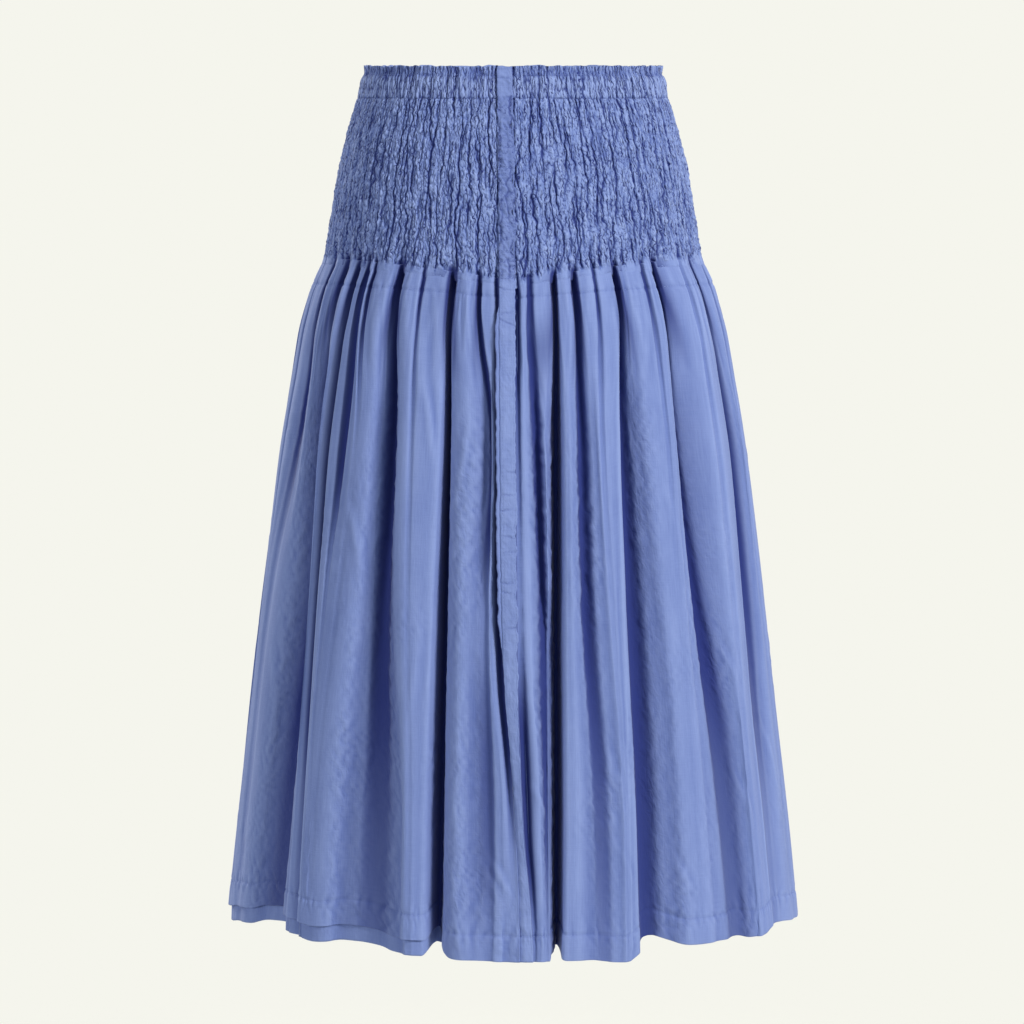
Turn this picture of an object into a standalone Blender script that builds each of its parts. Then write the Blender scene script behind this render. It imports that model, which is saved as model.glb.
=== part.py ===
"""A smocked midi skirt, hanging open and hollow as it does when worn.

From the top down it has a waist casing with a ruffled edge, a smocked hip yoke, and a gathered, pleated lower part
in a left front, a right front and a back panel. A placket runs down the front, and the edge of a second layer of
cloth shows under the left front's hem.

Units are metres and +Z is up. The front faces -Y and the origin is the centre of the waist, in the middle of the
casing. Angles run round the skirt from the front centre, positive towards +X, and the side seams are at 90 degrees
either way. A depth is a distance inwards from the outer form, square to it.
"""

import math
import random
from collections import namedtuple

import bmesh
import bpy
import numpy as np

MM = 0.001
CLOTH_BLUE = (0.125, 0.180, 0.445, 1.0)
CLOTH_ROUGHNESS = 0.9

WALL = 1.2 * MM
SEAM_GAP = 0.3 * MM
SIDE_SEAM = math.radians(90)

# The outer form: the figure down to the hips, and the flare of the cloth below them.
Section = namedtuple("Section", "height half_width half_depth")
FORM = [
    Section(-0.7625, 0.2643, 0.2150),
    Section(-0.6555, 0.2537, 0.2080),
    Section(-0.5635, 0.2437, 0.2000),
    Section(-0.4715, 0.2328, 0.1900),
    Section(-0.3790, 0.2212, 0.1770),
    Section(-0.3240, 0.2140, 0.1680),
    Section(-0.2690, 0.2048, 0.1560),
    Section(-0.2135, 0.1945, 0.1425),
    Section(-0.1860, 0.1862, 0.1345),
    Section(-0.1580, 0.1745, 0.1265),
    Section(-0.1310, 0.1690, 0.1215),
    Section(-0.0755, 0.1595, 0.1130),
    Section(-0.0480, 0.1530, 0.1070),
    Section(-0.0200, 0.1450, 0.1005),
    Section(-0.0060, 0.1405, 0.0975),
    Section(0.0045, 0.1385, 0.0965),
    Section(0.0115, 0.1362, 0.0940),
    Section(0.0205, 0.1365, 0.0942),
]

# Heights at the back of the waist. The waist line is lower at the front.
TOP_EDGE = 0.0205
CASING_EDGE = -0.0055
WAIST_DIP = 0.0060
YOKE_EDGE_SIDE = -0.1580
YOKE_FRONT_DIP = 0.0184
YOKE_BACK_DIP = 0.0060
YOKE_DIP_POWER = 1.5
YOKE_MIDDLE = -0.0800
HEM_HEIGHT = -0.7625

# The hem hangs unevenly: how far it drops below its height at the back, by the angle in degrees.
HemDrop = namedtuple("HemDrop", "angle drop")
HEM_DROPS = [
    HemDrop(-112, 0.0 * MM),
    HemDrop(-95, 4.0 * MM),
    HemDrop(-84, 7.5 * MM),
    HemDrop(-76, 3.0 * MM),
    HemDrop(-60, 0.5 * MM),
    HemDrop(-49, 1.0 * MM),
    HemDrop(-44, 4.5 * MM),
    HemDrop(-36, 3.5 * MM),
    HemDrop(-30, 7.5 * MM),
    HemDrop(-22, 9.5 * MM),
    HemDrop(-8, 11.5 * MM),
    HemDrop(14, 12.0 * MM),
    HemDrop(24.5, 11.5 * MM),
    HemDrop(27, 4.5 * MM),
    HemDrop(36, 4.0 * MM),
    HemDrop(50, 5.0 * MM),
    HemDrop(60, 5.0 * MM),
    HemDrop(65, -1.0 * MM),
    HemDrop(76, 1.0 * MM),
    HemDrop(90, 3.5 * MM),
    HemDrop(105, 0.0 * MM),
]

# Where the left front's hem hangs higher and shows the layer under it.
HEM_LIFT = 0.0150
LIFT_FROM = (math.radians(-114), math.radians(-92))
LIFT_TO = (math.radians(-22), math.radians(-15))
VALLEY_LIFT = 0.34

# The waist casing and its ruffled header: top edge, upper stitches, middle of the elastic, lower stitches.
RUFFLE_WAVES = 84
CasingRow = namedtuple("CasingRow", "height wave wall")
CASING = [
    CasingRow(TOP_EDGE, 1.5 * MM, 1.4 * MM),
    CasingRow(0.0130, 0.3 * MM, 1.4 * MM),
    CasingRow(0.0040, 0.6 * MM, 2.2 * MM),
    CasingRow(CASING_EDGE, 0.3 * MM, 2.2 * MM),
]

# The smocked yoke: a rib of cloth between each two lines of elastic puckers.
SMOCK_RIBS = 84
SMOCK_ROWS = 7
GROOVE_DEPTH = 1.1 * MM
EDGE_GROOVE = 0.55
RIB_UNEVENNESS = 0.45 * MM
RIB_WANDER = 0.32
YOKE_WALL = 2.8 * MM
YOKE_INNER_ROWS = 3
SEAM_RELIEF = 1.4 * MM
SMOCK_SEED = 5

# The folds of the lower part. Their columns hold one value for each level, which is a share of the way from the
# yoke's edge down to the hem. Angles are in degrees, depths and mouths in millimetres. The lean moves a fold's floor
# sideways, in half mouths, so that one of its edges lies over it.
LEVELS = (0.04, 0.23, 0.49, 0.77, 1.0)
Fold = namedtuple("Fold", "name angles depths mouths lean")
LEFT_FOLDS = [
    Fold("left_side", (-81, -81, -82.5, -83, -83), (6, 9, 9, 8, 7), (5, 7, 9, 11, 11), 0.0),
    Fold("left_edge", (-72, -71, -74, -75, -75), (6, 8, 4, 4, 4), (7, 10, 18, 24, 26), 0.0),
    Fold("left_broad", (-63, -59.5, -57.5, -58, -57), (13, 21, 17, 13, 12), (6, 9, 16, 22, 22), 0.2),
    Fold("left_knife", (-55.5, -54, -52, -50, -49), (11, 14, 11, 13, 14), (5, 6, 8, 9, 9), 1.0),
    Fold("left_short", (-48, -47, -47, -44, -43), (9, 12, 5, 1, 1), (6, 9, 14, 14, 14), 0.0),
    Fold("left_middle", (-35.3, -33.2, -31.8, -31, -30.2), (15, 22, 20, 13, 10), (6, 9, 13, 20, 24), 0.0),
    Fold("left_gather", (-27.5, -26, -25, -24, -24), (8, 4, 1, 1, 1), (5, 8, 10, 10, 10), 0.0),
    Fold("left_deep", (-17.4, -16.9, -16.4, -15.4, -14.9), (17, 28, 33, 34, 32), (6, 9, 11, 12, 12), 0.0),
    Fold("left_soft", (-9.7, -7.8, -7.6, -6.6, -6.6), (10, 9, 6, 6, 4), (5, 8, 14, 18, 20), 0.0),
]
RIGHT_FOLDS = [
    Fold("right_slant", (4.6, 5.8, 7.0, 6.4, 6.6), (9, 14, 12, 3, 1), (5, 8, 9, 6, 5), 0.0),
    Fold("right_deep", (12.4, 11.6, 10.6, 9.4, 9.0), (15, 28, 32, 33, 32), (6, 9, 10, 10, 11), 0.0),
    Fold("right_soft", (19, 17.9, 17.2, 19.6, 19.6), (10, 14, 11, 6, 5), (6, 9, 15, 22, 24), 0.0),
    Fold("right_gather", (25, 24.5, 24, 24, 24), (7, 3, 1, 1, 1), (5, 7, 8, 8, 8), 0.0),
    Fold("right_edge", (32.4, 30, 29, 28.4, 26.8), (14, 22, 18, 18, 19), (6, 9, 12, 13, 13), -0.8),
    Fold("right_pinch", (42, 42, 40, 40, 40), (8, 4, 1, 1, 1), (5, 8, 12, 14, 14), 0.0),
    Fold("right_broad", (49.5, 47.5, 48, 51.5, 52.5), (12, 19, 14, 10, 8), (6, 9, 16, 22, 24), 0.0),
    Fold("right_short", (59, 60, 59, 58, 58), (8, 6, 2, 1, 1), (5, 9, 9, 6, 6), 0.0),
    Fold("right_knife", (69.5, 71, 68, 64, 62.6), (7, 10, 10, 13, 14), (5, 7, 8, 9, 9), -1.0),
    Fold("right_side", (80, 80.5, 79, 78.5, 78.5), (6, 8, 10, 10, 9), (5, 7, 12, 16, 17), 0.0),
]

# The back's folds go by turns: two deep ones, then a broad one, with a gather between each two.
BackFold = namedtuple("BackFold", "depths mouths leans")
BACK_DEEP = BackFold((15, 25, 28, 26, 25), (6, 9, 12, 13, 13), (-0.7, 0.0, 0.0, 0.7))
BACK_BROAD = BackFold((12, 19, 15, 11, 10), (6, 9, 16, 22, 24), (0.0,))
BACK_GATHERS = (
    BackFold((9, 6, 1, 1, 1), (5, 8, 10, 12, 13), (0.0,)),
    BackFold((9, 10, 6, 4, 3), (5, 8, 10, 12, 13), (0.0,)),
)
BACK_FOLDS = 10
BACK_FIRST = 99.0
BACK_LAST = 261.0
BACK_JITTER = 2.8
BACK_DRIFT = 1.2
BACK_SCALES = (0.85, 1.1)
BACK_BETWEEN = (0.45, 0.55)
BACK_SEED = 11

# A fold across its mouth: steps from its centre in half mouths, and shares of its depth.
SHOULDER = 2.0
PROFILE = ((-SHOULDER, 0.0), (-1.0, 0.10), (-0.62, 0.72), (0.0, 1.0), (0.62, 0.72), (1.0, 0.10), (SHOULDER, 0.0))
CROWDING = 0.97
CREST_ROUNDING = 1.2 * MM
SEAM_MARGIN = math.radians(3.5)
WIDE_CREST = 30 * MM
VERY_WIDE_CREST = 62 * MM
SKIRT_SHARES = (0.0, 0.035, 0.23, 0.49, 0.77, 0.89, 1.0)

# The placket: a flat band whose edge by the right front is free. Lower down it turns away and comes back at the hem.
# The edge is measured from the front centre, and the turn is about the upright.
Placket = namedtuple("Placket", "height edge turn")
PLACKET = [
    Placket(-0.7625, 17.6 * MM, 0),
    Placket(-0.7250, 15.0 * MM, 14),
    Placket(-0.7000, 12.6 * MM, 42),
    Placket(-0.6720, 9.6 * MM, 60),
    Placket(-0.6300, 7.2 * MM, 60),
    Placket(-0.5900, 5.6 * MM, 50),
    Placket(-0.5400, 4.2 * MM, 30),
    Placket(-0.4600, 3.7 * MM, 4),
    Placket(-0.3000, 2.5 * MM, 0),
    Placket(-0.1900, 1.6 * MM, 0),
    Placket(-0.1000, 1.2 * MM, 0),
    Placket(0.0145, -0.6 * MM, 0),
]
PLACKET_WIDTH = 14 * MM
PLACKET_PROUD = 1.0 * MM
ACROSS_BAND = (0.0, 0.5, 1.0)
UNDER_BAND_GAP = 0.5 * MM
PLACKET_CLEAR = 0.8 * MM
BESIDE_PLACKET_LEFT = ((8, 13, 14, 6, 1), (5, 7, 8, 8, 8))
BESIDE_PLACKET_RIGHT = ((6, 9, 9, 8, 5), (5, 7, 8, 7, 4))

# The second layer under the left hem.
LAYER_WALL = 1.0 * MM
LAYER_BEHIND = 1.6 * MM
LAYER_TUCK = 0.14
LAYER_SHORT = 1.0 * MM


def smooth(places, values, at):
    """The smooth curve through a table's points, with slopes taken from the neighbouring points."""
    places, values = np.asarray(places, float), np.asarray(values, float)
    slopes = np.gradient(values, places)
    at = np.clip(at, places[0], places[-1])
    i = np.clip(np.searchsorted(places, at) - 1, 0, len(places) - 2)
    step = places[i + 1] - places[i]
    t = (at - places[i]) / step
    return (
        (1 + 2 * t) * (1 - t) ** 2 * values[i]
        + t * (1 - t) ** 2 * step * slopes[i]
        + t * t * (3 - 2 * t) * values[i + 1]
        + t * t * (t - 1) * step * slopes[i + 1]
    )


def ease(start, end, at):
    """0 before start and 1 after end, with a smooth rise between them."""
    t = np.clip((at - start) / (end - start), 0, 1)
    return t * t * (3 - 2 * t)


def half_width(height):
    return smooth([s.height for s in FORM], [s.half_width for s in FORM], height)


def half_depth(height):
    return smooth([s.height for s in FORM], [s.half_depth for s in FORM], height)


def form_point(angle, height, depth):
    """The point that lies a depth inside the outer form."""
    wide, deep = half_width(height), half_depth(height)
    out_x, out_y = np.sin(angle) / wide, -np.cos(angle) / deep
    length = np.hypot(out_x, out_y)
    x = wide * np.sin(angle) - depth * out_x / length
    y = -deep * np.cos(angle) - depth * out_y / length
    return np.stack([x, y, height + np.zeros_like(x)], axis=-1)


def angle_of(point):
    """The angle at which a point lies."""
    x, y, height = np.moveaxis(np.asarray(point), -1, 0)
    return np.arctan2(x / half_width(height), -y / half_depth(height))


def speed(angle, height):
    """Metres along the outer form for each radian."""
    return np.hypot(half_width(height) * np.cos(angle), half_depth(height) * np.sin(angle))


def even_angles(start, end, count):
    """Angles from start to end that are equally far apart along the yoke."""
    fine = np.linspace(start, end, 400)
    along = np.concatenate([[0], np.cumsum(speed((fine[1:] + fine[:-1]) / 2, YOKE_MIDDLE) * np.diff(fine))])
    return np.interp(np.linspace(0, along[-1], count), along, fine)


def waist_height(height, angle):
    """A height given at the back of the waist, where it comes at this angle."""
    return height - WAIST_DIP * (1 + np.cos(angle)) / 2


def yoke_edge(angle):
    """The height of the yoke's lower edge. It dips to a point under the placket, and gently at the back."""
    front = YOKE_FRONT_DIP * (1 - np.abs(np.sin(angle))) ** YOKE_DIP_POWER
    back = YOKE_BACK_DIP * np.cos(angle) ** 2
    return YOKE_EDGE_SIDE - np.where(np.cos(angle) > 0, front, back)


def half_turned(angle):
    """The same angle, between half a turn either way."""
    return (angle + math.pi) % (2 * math.pi) - math.pi


def hem_drop(angle):
    """How far the lowest cloth hangs below the hem's height at the back."""
    return smooth([h.angle for h in HEM_DROPS], [h.drop for h in HEM_DROPS], np.degrees(half_turned(angle)))


def hem_lift(angle):
    """How much higher the outer hem hangs than the lowest cloth at this angle."""
    turned = half_turned(angle)
    return HEM_LIFT * ease(*LIFT_FROM, turned) * (1 - ease(*LIFT_TO, turned))


# The placket


def placket_edge(height):
    """The angle, on the form, of the placket's free edge."""
    edge = smooth([p.height for p in PLACKET], [p.edge for p in PLACKET], height)
    return math.asin(edge / half_width(height))


def placket_turn(height):
    return math.radians(smooth([p.height for p in PLACKET], [p.turn for p in PLACKET], height))


def placket_line(height, across, behind):
    """A point of the band: across runs from 0 at its sewn edge to 1 at its free edge, and behind is square to it."""
    free = form_point(placket_edge(height), height, -PLACKET_PROUD)
    turn = placket_turn(height)
    along = np.array([math.cos(turn), -math.sin(turn), 0])
    inwards = np.array([math.sin(turn), math.cos(turn), 0])
    return free - along * PLACKET_WIDTH * (1 - across) + inwards * behind


# The ring of folds


def level_value(values, share):
    return float(smooth((0.0, *LEVELS), (values[0], *values), share))


def fold_depth(depths, share):
    """A fold's depth in metres. It is shallow where the cloth joins the yoke."""
    full = max(0.0, level_value(depths, share)) * MM
    start = min(SEAM_RELIEF, full)
    return start + (full - start) * float(ease(0.0, LEVELS[0], share))


def back_folds():
    """The back's folds, which the seeded chance keeps from being alike."""
    chance = random.Random(BACK_SEED)
    step = (BACK_LAST - BACK_FIRST) / (BACK_FOLDS - 1)
    folds = []
    for i in range(BACK_FOLDS):
        kind = BACK_BROAD if i % 3 == 1 else BACK_DEEP
        angle = BACK_FIRST + i * step + chance.uniform(-BACK_JITTER, BACK_JITTER)
        angles = tuple(angle + chance.uniform(-BACK_DRIFT, BACK_DRIFT) * share for share in LEVELS)
        scale = chance.uniform(*BACK_SCALES)
        depths = tuple(depth * scale for depth in kind.depths)
        folds.append(Fold(f"back_{i}", angles, depths, kind.mouths, chance.choice(kind.leans)))
        if i < BACK_FOLDS - 1:
            between = angle + step * chance.uniform(*BACK_BETWEEN)
            kind = chance.choice(BACK_GATHERS)
            folds.append(Fold(f"back_gather_{i}", (between,) * len(LEVELS), kind.depths, kind.mouths, 0.0))
    return folds


def ring_height(angle, depth, share):
    """The height of the cloth at a share of its way down. Its hem is a little higher in a valley."""
    top = yoke_edge(angle) - SEAM_GAP
    hem = HEM_HEIGHT - hem_drop(angle) + hem_lift(angle) + VALLEY_LIFT * depth
    return top + share * (hem - top)


def ring_point(angle, depth, share):
    return form_point(angle, ring_height(angle, depth, share), depth + WALL / 2)


def fold_controls(fold, share, limit_before, limit_after):
    """The spline controls of one fold, as angles and depths. The limits keep it clear of its neighbours."""
    centre = math.radians(level_value(fold.angles, share))
    height = float(ring_height(centre, 0.0, share))
    depth = fold_depth(fold.depths, share)
    metres = float(speed(centre, height))
    half = level_value(fold.mouths, share) * MM / 2
    before = min(half, metres * (centre - limit_before) / SHOULDER * CROWDING)
    after = min(half, metres * (limit_after - centre) / SHOULDER * CROWDING)
    rows = []
    for across, down in PROFILE:
        lean = fold.lean * down
        step = across * (before if across < 0 else after) + lean * (before if lean < 0 else after)
        rows.append((centre + step / metres, depth * down + CREST_ROUNDING * (1 - down)))
    return rows


def between_controls(before, after, count):
    """Controls on the crest between two folds."""
    shares = [(i + 1) / (count + 1) for i in range(count)]
    return [(before + (after - before) * share, CREST_ROUNDING * abs(share - 0.5)) for share in shares]


def crest_count(before, after):
    """How many controls the crest between two folds takes, from its width at the hem."""
    gap = math.radians(after.angles[-1] - before.angles[-1])
    width = gap * float(speed(math.radians(before.angles[-1]) + gap / 2, HEM_HEIGHT))
    return int(width > WIDE_CREST) + int(width > VERY_WIDE_CREST)


def panel_controls(folds, share, start, end):
    """The (angle, depth) controls of a row of folds between two angles."""
    centres = [math.radians(level_value(f.angles, share)) for f in folds]
    limits = [start] + [(a + b) / 2 for a, b in zip(centres, centres[1:])] + [end]
    rows = []
    for i, fold in enumerate(folds):
        rows.append(fold_controls(fold, share, limits[i], limits[i + 1]))
    controls = list(rows[0])
    for i in range(1, len(rows)):
        count = crest_count(folds[i - 1], folds[i])
        controls += between_controls(controls[-1][0], rows[i][0][0], count)
        controls += rows[i]
    return controls


def side_controls(share, seam, direction):
    """The controls at a side seam and beside it. Direction is 1 where the panel runs on from the seam."""
    return [(seam - direction * SEAM_MARGIN, 0.0), (seam, 0.0), (seam + direction * SEAM_MARGIN, 0.0)]


def ring_points(controls, share):
    return [ring_point(angle, depth, share) for angle, depth in controls]


def beside_placket(share, side):
    """The points of the valley beside the placket, from the crest to the placket's edge."""
    depths, mouths = BESIDE_PLACKET_LEFT if side < 0 else BESIDE_PLACKET_RIGHT
    depth = fold_depth(depths, share)
    mouth = level_value(mouths, share) * MM
    height = float(ring_height(0.0, 0.0, share))
    clear = WALL / 2 + PLACKET_CLEAR
    if side < 0:
        edge = placket_line(height, -clear / PLACKET_WIDTH, WALL / 2)
    else:
        edge = placket_line(height, 1 + clear / PLACKET_WIDTH, WALL + UNDER_BAND_GAP + WALL / 2)
    edge_depth = float(edge[1] + half_depth(height))
    depth = max(depth, edge_depth + 0.5 * MM)
    points = []
    for out, down in ((2.0, 0.0), (1.25, 0.10), (0.95, 0.72), (0.50, 1.0)):
        x = edge[0] + side * out * mouth
        angle = math.asin(x / float(half_width(height)))
        points.append(ring_point(angle, depth * down + CREST_ROUNDING * (1 - down), share))
    points.append(edge)
    return points


def spline(points):
    """The knots of the cubic B-spline of the controls, which hold one extra control at each end."""
    points = np.asarray(points)
    return (points[:-2] + 4 * points[1:-1] + points[2:]) / 6


def mirrored_end(points):
    """One more control past the end, so that the spline ends on the last point."""
    return 2 * np.asarray(points[-1]) - np.asarray(points[-2])


def left_row(share):
    """The left front's cloth at one level, from its side seam to the placket."""
    beside = beside_placket(share, -1)
    last = float(angle_of(beside[0]))
    start = side_controls(share, -SIDE_SEAM, 1)
    middle = panel_controls(LEFT_FOLDS, share, start[-1][0], last)
    points = ring_points(start + middle, share) + beside
    return spline(points + [mirrored_end(points)])


def right_row(share):
    """The right front's cloth at one level, from the placket to its side seam."""
    beside = beside_placket(share, 1)[::-1]
    first = float(angle_of(beside[-1]))
    end = side_controls(share, SIDE_SEAM, -1)[::-1]
    middle = panel_controls(RIGHT_FOLDS, share, first, end[0][0])
    points = beside + ring_points(middle + end, share)
    return spline([mirrored_end(points[::-1])] + points)


def back_row(share):
    """The back's cloth at one level, from the right side seam to the left one."""
    start = side_controls(share, SIDE_SEAM, 1)
    end = side_controls(share, 3 * SIDE_SEAM, -1)[::-1]
    middle = panel_controls(back_folds(), share, start[-1][0], end[0][0])
    return spline(ring_points(start + middle + end, share))


def seam_relief(angle):
    """How far a gather presses into the yoke's lower edge at this angle."""
    folds = LEFT_FOLDS + RIGHT_FOLDS + back_folds()
    total = 0.0
    for fold in folds:
        away = half_turned(angle - math.radians(fold.angles[0]))
        half = fold.mouths[0] * MM / speed(angle, YOKE_EDGE_SIDE)
        total = np.maximum(total, SEAM_RELIEF * np.exp(-((away / half) ** 2)))
    return total


# Walls


def drawn_in(rows, at_start, at_end):
    """The rows with their end points moved in along the cloth, which leaves a gap at the seam."""
    rows = np.array(rows)
    for end, beside, gap in ((0, 1, at_start), (-1, -2, at_end)):
        step = rows[:, beside] - rows[:, end]
        rows[:, end] += step / np.linalg.norm(step, axis=1, keepdims=True) * gap
    return rows


def outwards(rows):
    """The level normals of a grid whose rows run round the skirt."""
    along = np.gradient(rows, axis=1)
    normals = np.stack([along[..., 1], -along[..., 0], np.zeros(rows.shape[:2])], axis=-1)
    return normals / np.linalg.norm(normals, axis=-1, keepdims=True)


def cotton(name):
    """The washed blue cotton of one piece."""
    made = bpy.data.materials.new(name)
    made.use_nodes = True
    shader = made.node_tree.nodes["Principled BSDF"]
    shader.inputs["Base Color"].default_value = CLOTH_BLUE
    shader.inputs["Roughness"].default_value = CLOTH_ROUGHNESS
    shader.inputs["Metallic"].default_value = 0.0
    return made


def zip_borders(mesh, first, second):
    """Triangles between two lines of vertices that run side by side and may differ in number."""
    i, j = 0, 0
    while (i, j) != (len(first) - 1, len(second) - 1):
        first_share = (i + 1) / (len(first) - 1)
        second_share = (j + 1) / (len(second) - 1)
        if i < len(first) - 1 and (j == len(second) - 1 or first_share <= second_share):
            mesh.faces.new((first[i], first[i + 1], second[j]))
            i += 1
        else:
            mesh.faces.new((first[i], second[j + 1], second[j]))
            j += 1


def wall(name, outer, inner):
    """A closed wall between an outer and an inner grid. The grids may differ in how many points they have."""
    mesh = bmesh.new()
    sheets = []
    for grid in (outer, inner):
        verts = [[mesh.verts.new(p) for p in row] for row in grid]
        for upper, lower in zip(verts, verts[1:]):
            for k in range(len(upper) - 1):
                mesh.faces.new((upper[k], upper[k + 1], lower[k + 1], lower[k]))
        sheets.append(verts)
    out, back = sheets
    zip_borders(mesh, out[0], back[0])
    zip_borders(mesh, out[-1], back[-1])
    zip_borders(mesh, [row[0] for row in out], [row[0] for row in back])
    zip_borders(mesh, [row[-1] for row in out], [row[-1] for row in back])
    bmesh.ops.recalc_face_normals(mesh, faces=mesh.faces)
    data = bpy.data.meshes.new(name)
    mesh.to_mesh(data)
    mesh.free()
    data.materials.append(cotton(f"{name}_cotton"))
    data.shade_smooth()
    made = bpy.data.objects.new(name, data)
    bpy.context.scene.collection.objects.link(made)
    return made


def even_wall(name, rows, thickness):
    """A wall of one thickness about a middle surface."""
    normals = outwards(rows)
    return wall(name, rows + normals * thickness / 2, rows - normals * thickness / 2)


# Pieces


def make_lower_panels():
    left = np.array([left_row(share) for share in SKIRT_SHARES])
    right = np.array([right_row(share) for share in SKIRT_SHARES])
    back = np.array([back_row(share) for share in SKIRT_SHARES])
    even_wall("skirt_front_left", drawn_in(left, SEAM_GAP / 2, 0), WALL)
    even_wall("skirt_front_right", drawn_in(right, 0, SEAM_GAP / 2), WALL)
    even_wall("skirt_back", drawn_in(back, SEAM_GAP / 2, SEAM_GAP / 2), WALL)


def yoke_span(side, height):
    """The angles that a yoke or casing panel covers at a height."""
    left_edge = placket_line(height, 0.0, 0.0)[0] - SEAM_GAP
    right_edge = placket_line(height, 1.0, 0.0)[0] + SEAM_GAP
    gap = SEAM_GAP / 2 / half_depth(height)
    wide = half_width(height)
    return {
        "left": (-SIDE_SEAM + gap, math.asin(left_edge / wide)),
        "right": (math.asin(right_edge / wide), SIDE_SEAM - gap),
        "back": (SIDE_SEAM + gap, 3 * SIDE_SEAM - gap),
    }[side]


def spread(side, height, count):
    """Evenly spaced angles across a panel of the yoke or the casing."""
    quarter = {"left": (-SIDE_SEAM, 0.0), "right": (0.0, SIDE_SEAM), "back": (SIDE_SEAM, 3 * SIDE_SEAM)}[side]
    angles = even_angles(*quarter, count)
    share = (angles - angles[0]) / (angles[-1] - angles[0])
    start, end = yoke_span(side, height)
    return start + share * (end - start)


def waves_of(side, total):
    """How many of the ribs or waves round the waist fall on a panel."""
    return total // 2 if side == "back" else total // 4


def yoke_row(side, share, count):
    """The angles and heights of a row of points, at a share of the way down the yoke."""
    top = CASING_EDGE - SEAM_GAP
    angles = spread(side, top + share * (YOKE_EDGE_SIDE - top), count)
    return angles, waist_height(top, angles) * (1 - share) + yoke_edge(angles) * share


def make_yoke_panel(name, side, seed):
    """A smocked panel: ribs raised in its outer face, over a plain inner face."""
    chance = np.random.default_rng(seed)
    ribs = waves_of(side, SMOCK_RIBS)
    columns = 2 * ribs + 1
    grooves = (np.arange(columns) % 2) * GROOVE_DEPTH
    outer = []
    for row in range(SMOCK_ROWS + 1):
        angles, heights = yoke_row(side, row / SMOCK_ROWS, columns)
        pitch = (angles[-1] - angles[0]) / (columns - 1)
        angles[1:-1] += pitch * RIB_WANDER * chance.uniform(-1, 1, columns - 2)
        at_edge = row in (0, SMOCK_ROWS)
        depth = grooves * (EDGE_GROOVE if at_edge else 1.0) + RIB_UNEVENNESS * chance.uniform(0, 1, columns)
        if row == SMOCK_ROWS:
            depth += seam_relief(angles)
        outer.append(form_point(angles, heights, depth))
    inner = []
    for row in range(YOKE_INNER_ROWS + 1):
        angles, heights = yoke_row(side, row / YOKE_INNER_ROWS, ribs + 1)
        relief = SEAM_RELIEF / 2 if row == YOKE_INNER_ROWS else 0.0
        inner.append(form_point(angles, heights, YOKE_WALL + relief))
    wall(name, outer, inner)


def make_casing_panel(name, side):
    """A stretch of the elastic casing, with the ruffled header above its upper line of stitches."""
    columns = 2 * waves_of(side, RUFFLE_WAVES) + 1
    outer, inner = [], []
    for row in CASING:
        angles = spread(side, row.height, columns)
        heights = waist_height(row.height, angles)
        depth = (np.arange(columns) % 2) * row.wave
        outer.append(form_point(angles, heights, depth))
        inner.append(form_point(angles, heights, depth + row.wall))
    wall(name, outer, inner)


def make_placket():
    """The band over the opening, and the plain band under it that the right front is sewn to."""
    heights = [waist_height(TOP_EDGE, 0.0), YOKE_MIDDLE]
    heights += [float(ring_height(0.0, 0.0, share)) for share in SKIRT_SHARES]
    for name, behind in (("placket_band", 0.0), ("placket_under_band", WALL + UNDER_BAND_GAP)):
        front = [[placket_line(height, across, behind) for across in ACROSS_BAND] for height in heights]
        back = [[placket_line(height, across, behind + WALL) for across in ACROSS_BAND] for height in heights]
        wall(name, front, back)


def make_second_layer():
    """The edge of the layer that shows under the raised hem. It lies behind the outer cloth and follows its folds."""
    hem, above = (np.concatenate([back_row(share)[:-1], left_row(share)]) for share in (1.0, SKIRT_SHARES[-2]))
    angles = angle_of(hem)
    shown = (angles > LIFT_FROM[0]) & (angles < LIFT_TO[1])
    top = hem + (above - hem) * LAYER_TUCK
    bottom = np.array(hem)
    bottom[:, 2] -= hem_lift(angles) - LAYER_SHORT
    rows = np.array([top, bottom])[:, shown]
    even_wall("second_layer_left", rows - outwards(rows) * LAYER_BEHIND, LAYER_WALL)


def main():
    for old in list(bpy.data.objects):
        bpy.data.objects.remove(old)
    for i, (side, place) in enumerate((("left", "front_left"), ("right", "front_right"), ("back", "back"))):
        make_casing_panel(f"waist_casing_{place}", side)
        make_yoke_panel(f"smocked_yoke_{place}", side, SMOCK_SEED + i)
    make_lower_panels()
    make_placket()
    make_second_layer()


main()
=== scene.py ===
"""The look of a smocked midi skirt in washed blue cotton, hanging open and empty inside as it does on a
wearer.

Units are metres and +Z is up. The front faces -Y and the origin is the centre of the waist. Angles run round
the skirt from the front centre, positive towards +X, and the side seams are at 90 degrees either way. A depth
is a distance inwards from the outer form. On the cloth, u runs along it round the skirt and v runs down it.
"""

import math
import random
from collections import namedtuple

import bpy
import numpy as np
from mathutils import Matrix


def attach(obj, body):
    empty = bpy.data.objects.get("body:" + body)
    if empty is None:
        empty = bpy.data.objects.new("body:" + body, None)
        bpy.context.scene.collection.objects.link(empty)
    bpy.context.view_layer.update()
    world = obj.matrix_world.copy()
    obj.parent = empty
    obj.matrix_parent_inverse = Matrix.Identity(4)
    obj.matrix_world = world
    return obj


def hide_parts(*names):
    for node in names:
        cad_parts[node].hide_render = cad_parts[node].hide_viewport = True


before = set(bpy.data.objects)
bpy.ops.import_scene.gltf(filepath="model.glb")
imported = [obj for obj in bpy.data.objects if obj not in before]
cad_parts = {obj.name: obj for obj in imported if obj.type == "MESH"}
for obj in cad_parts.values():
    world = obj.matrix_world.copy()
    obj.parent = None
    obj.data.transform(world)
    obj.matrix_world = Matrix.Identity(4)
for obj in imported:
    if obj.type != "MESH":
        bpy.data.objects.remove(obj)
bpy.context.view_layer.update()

MM = 0.001

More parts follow.
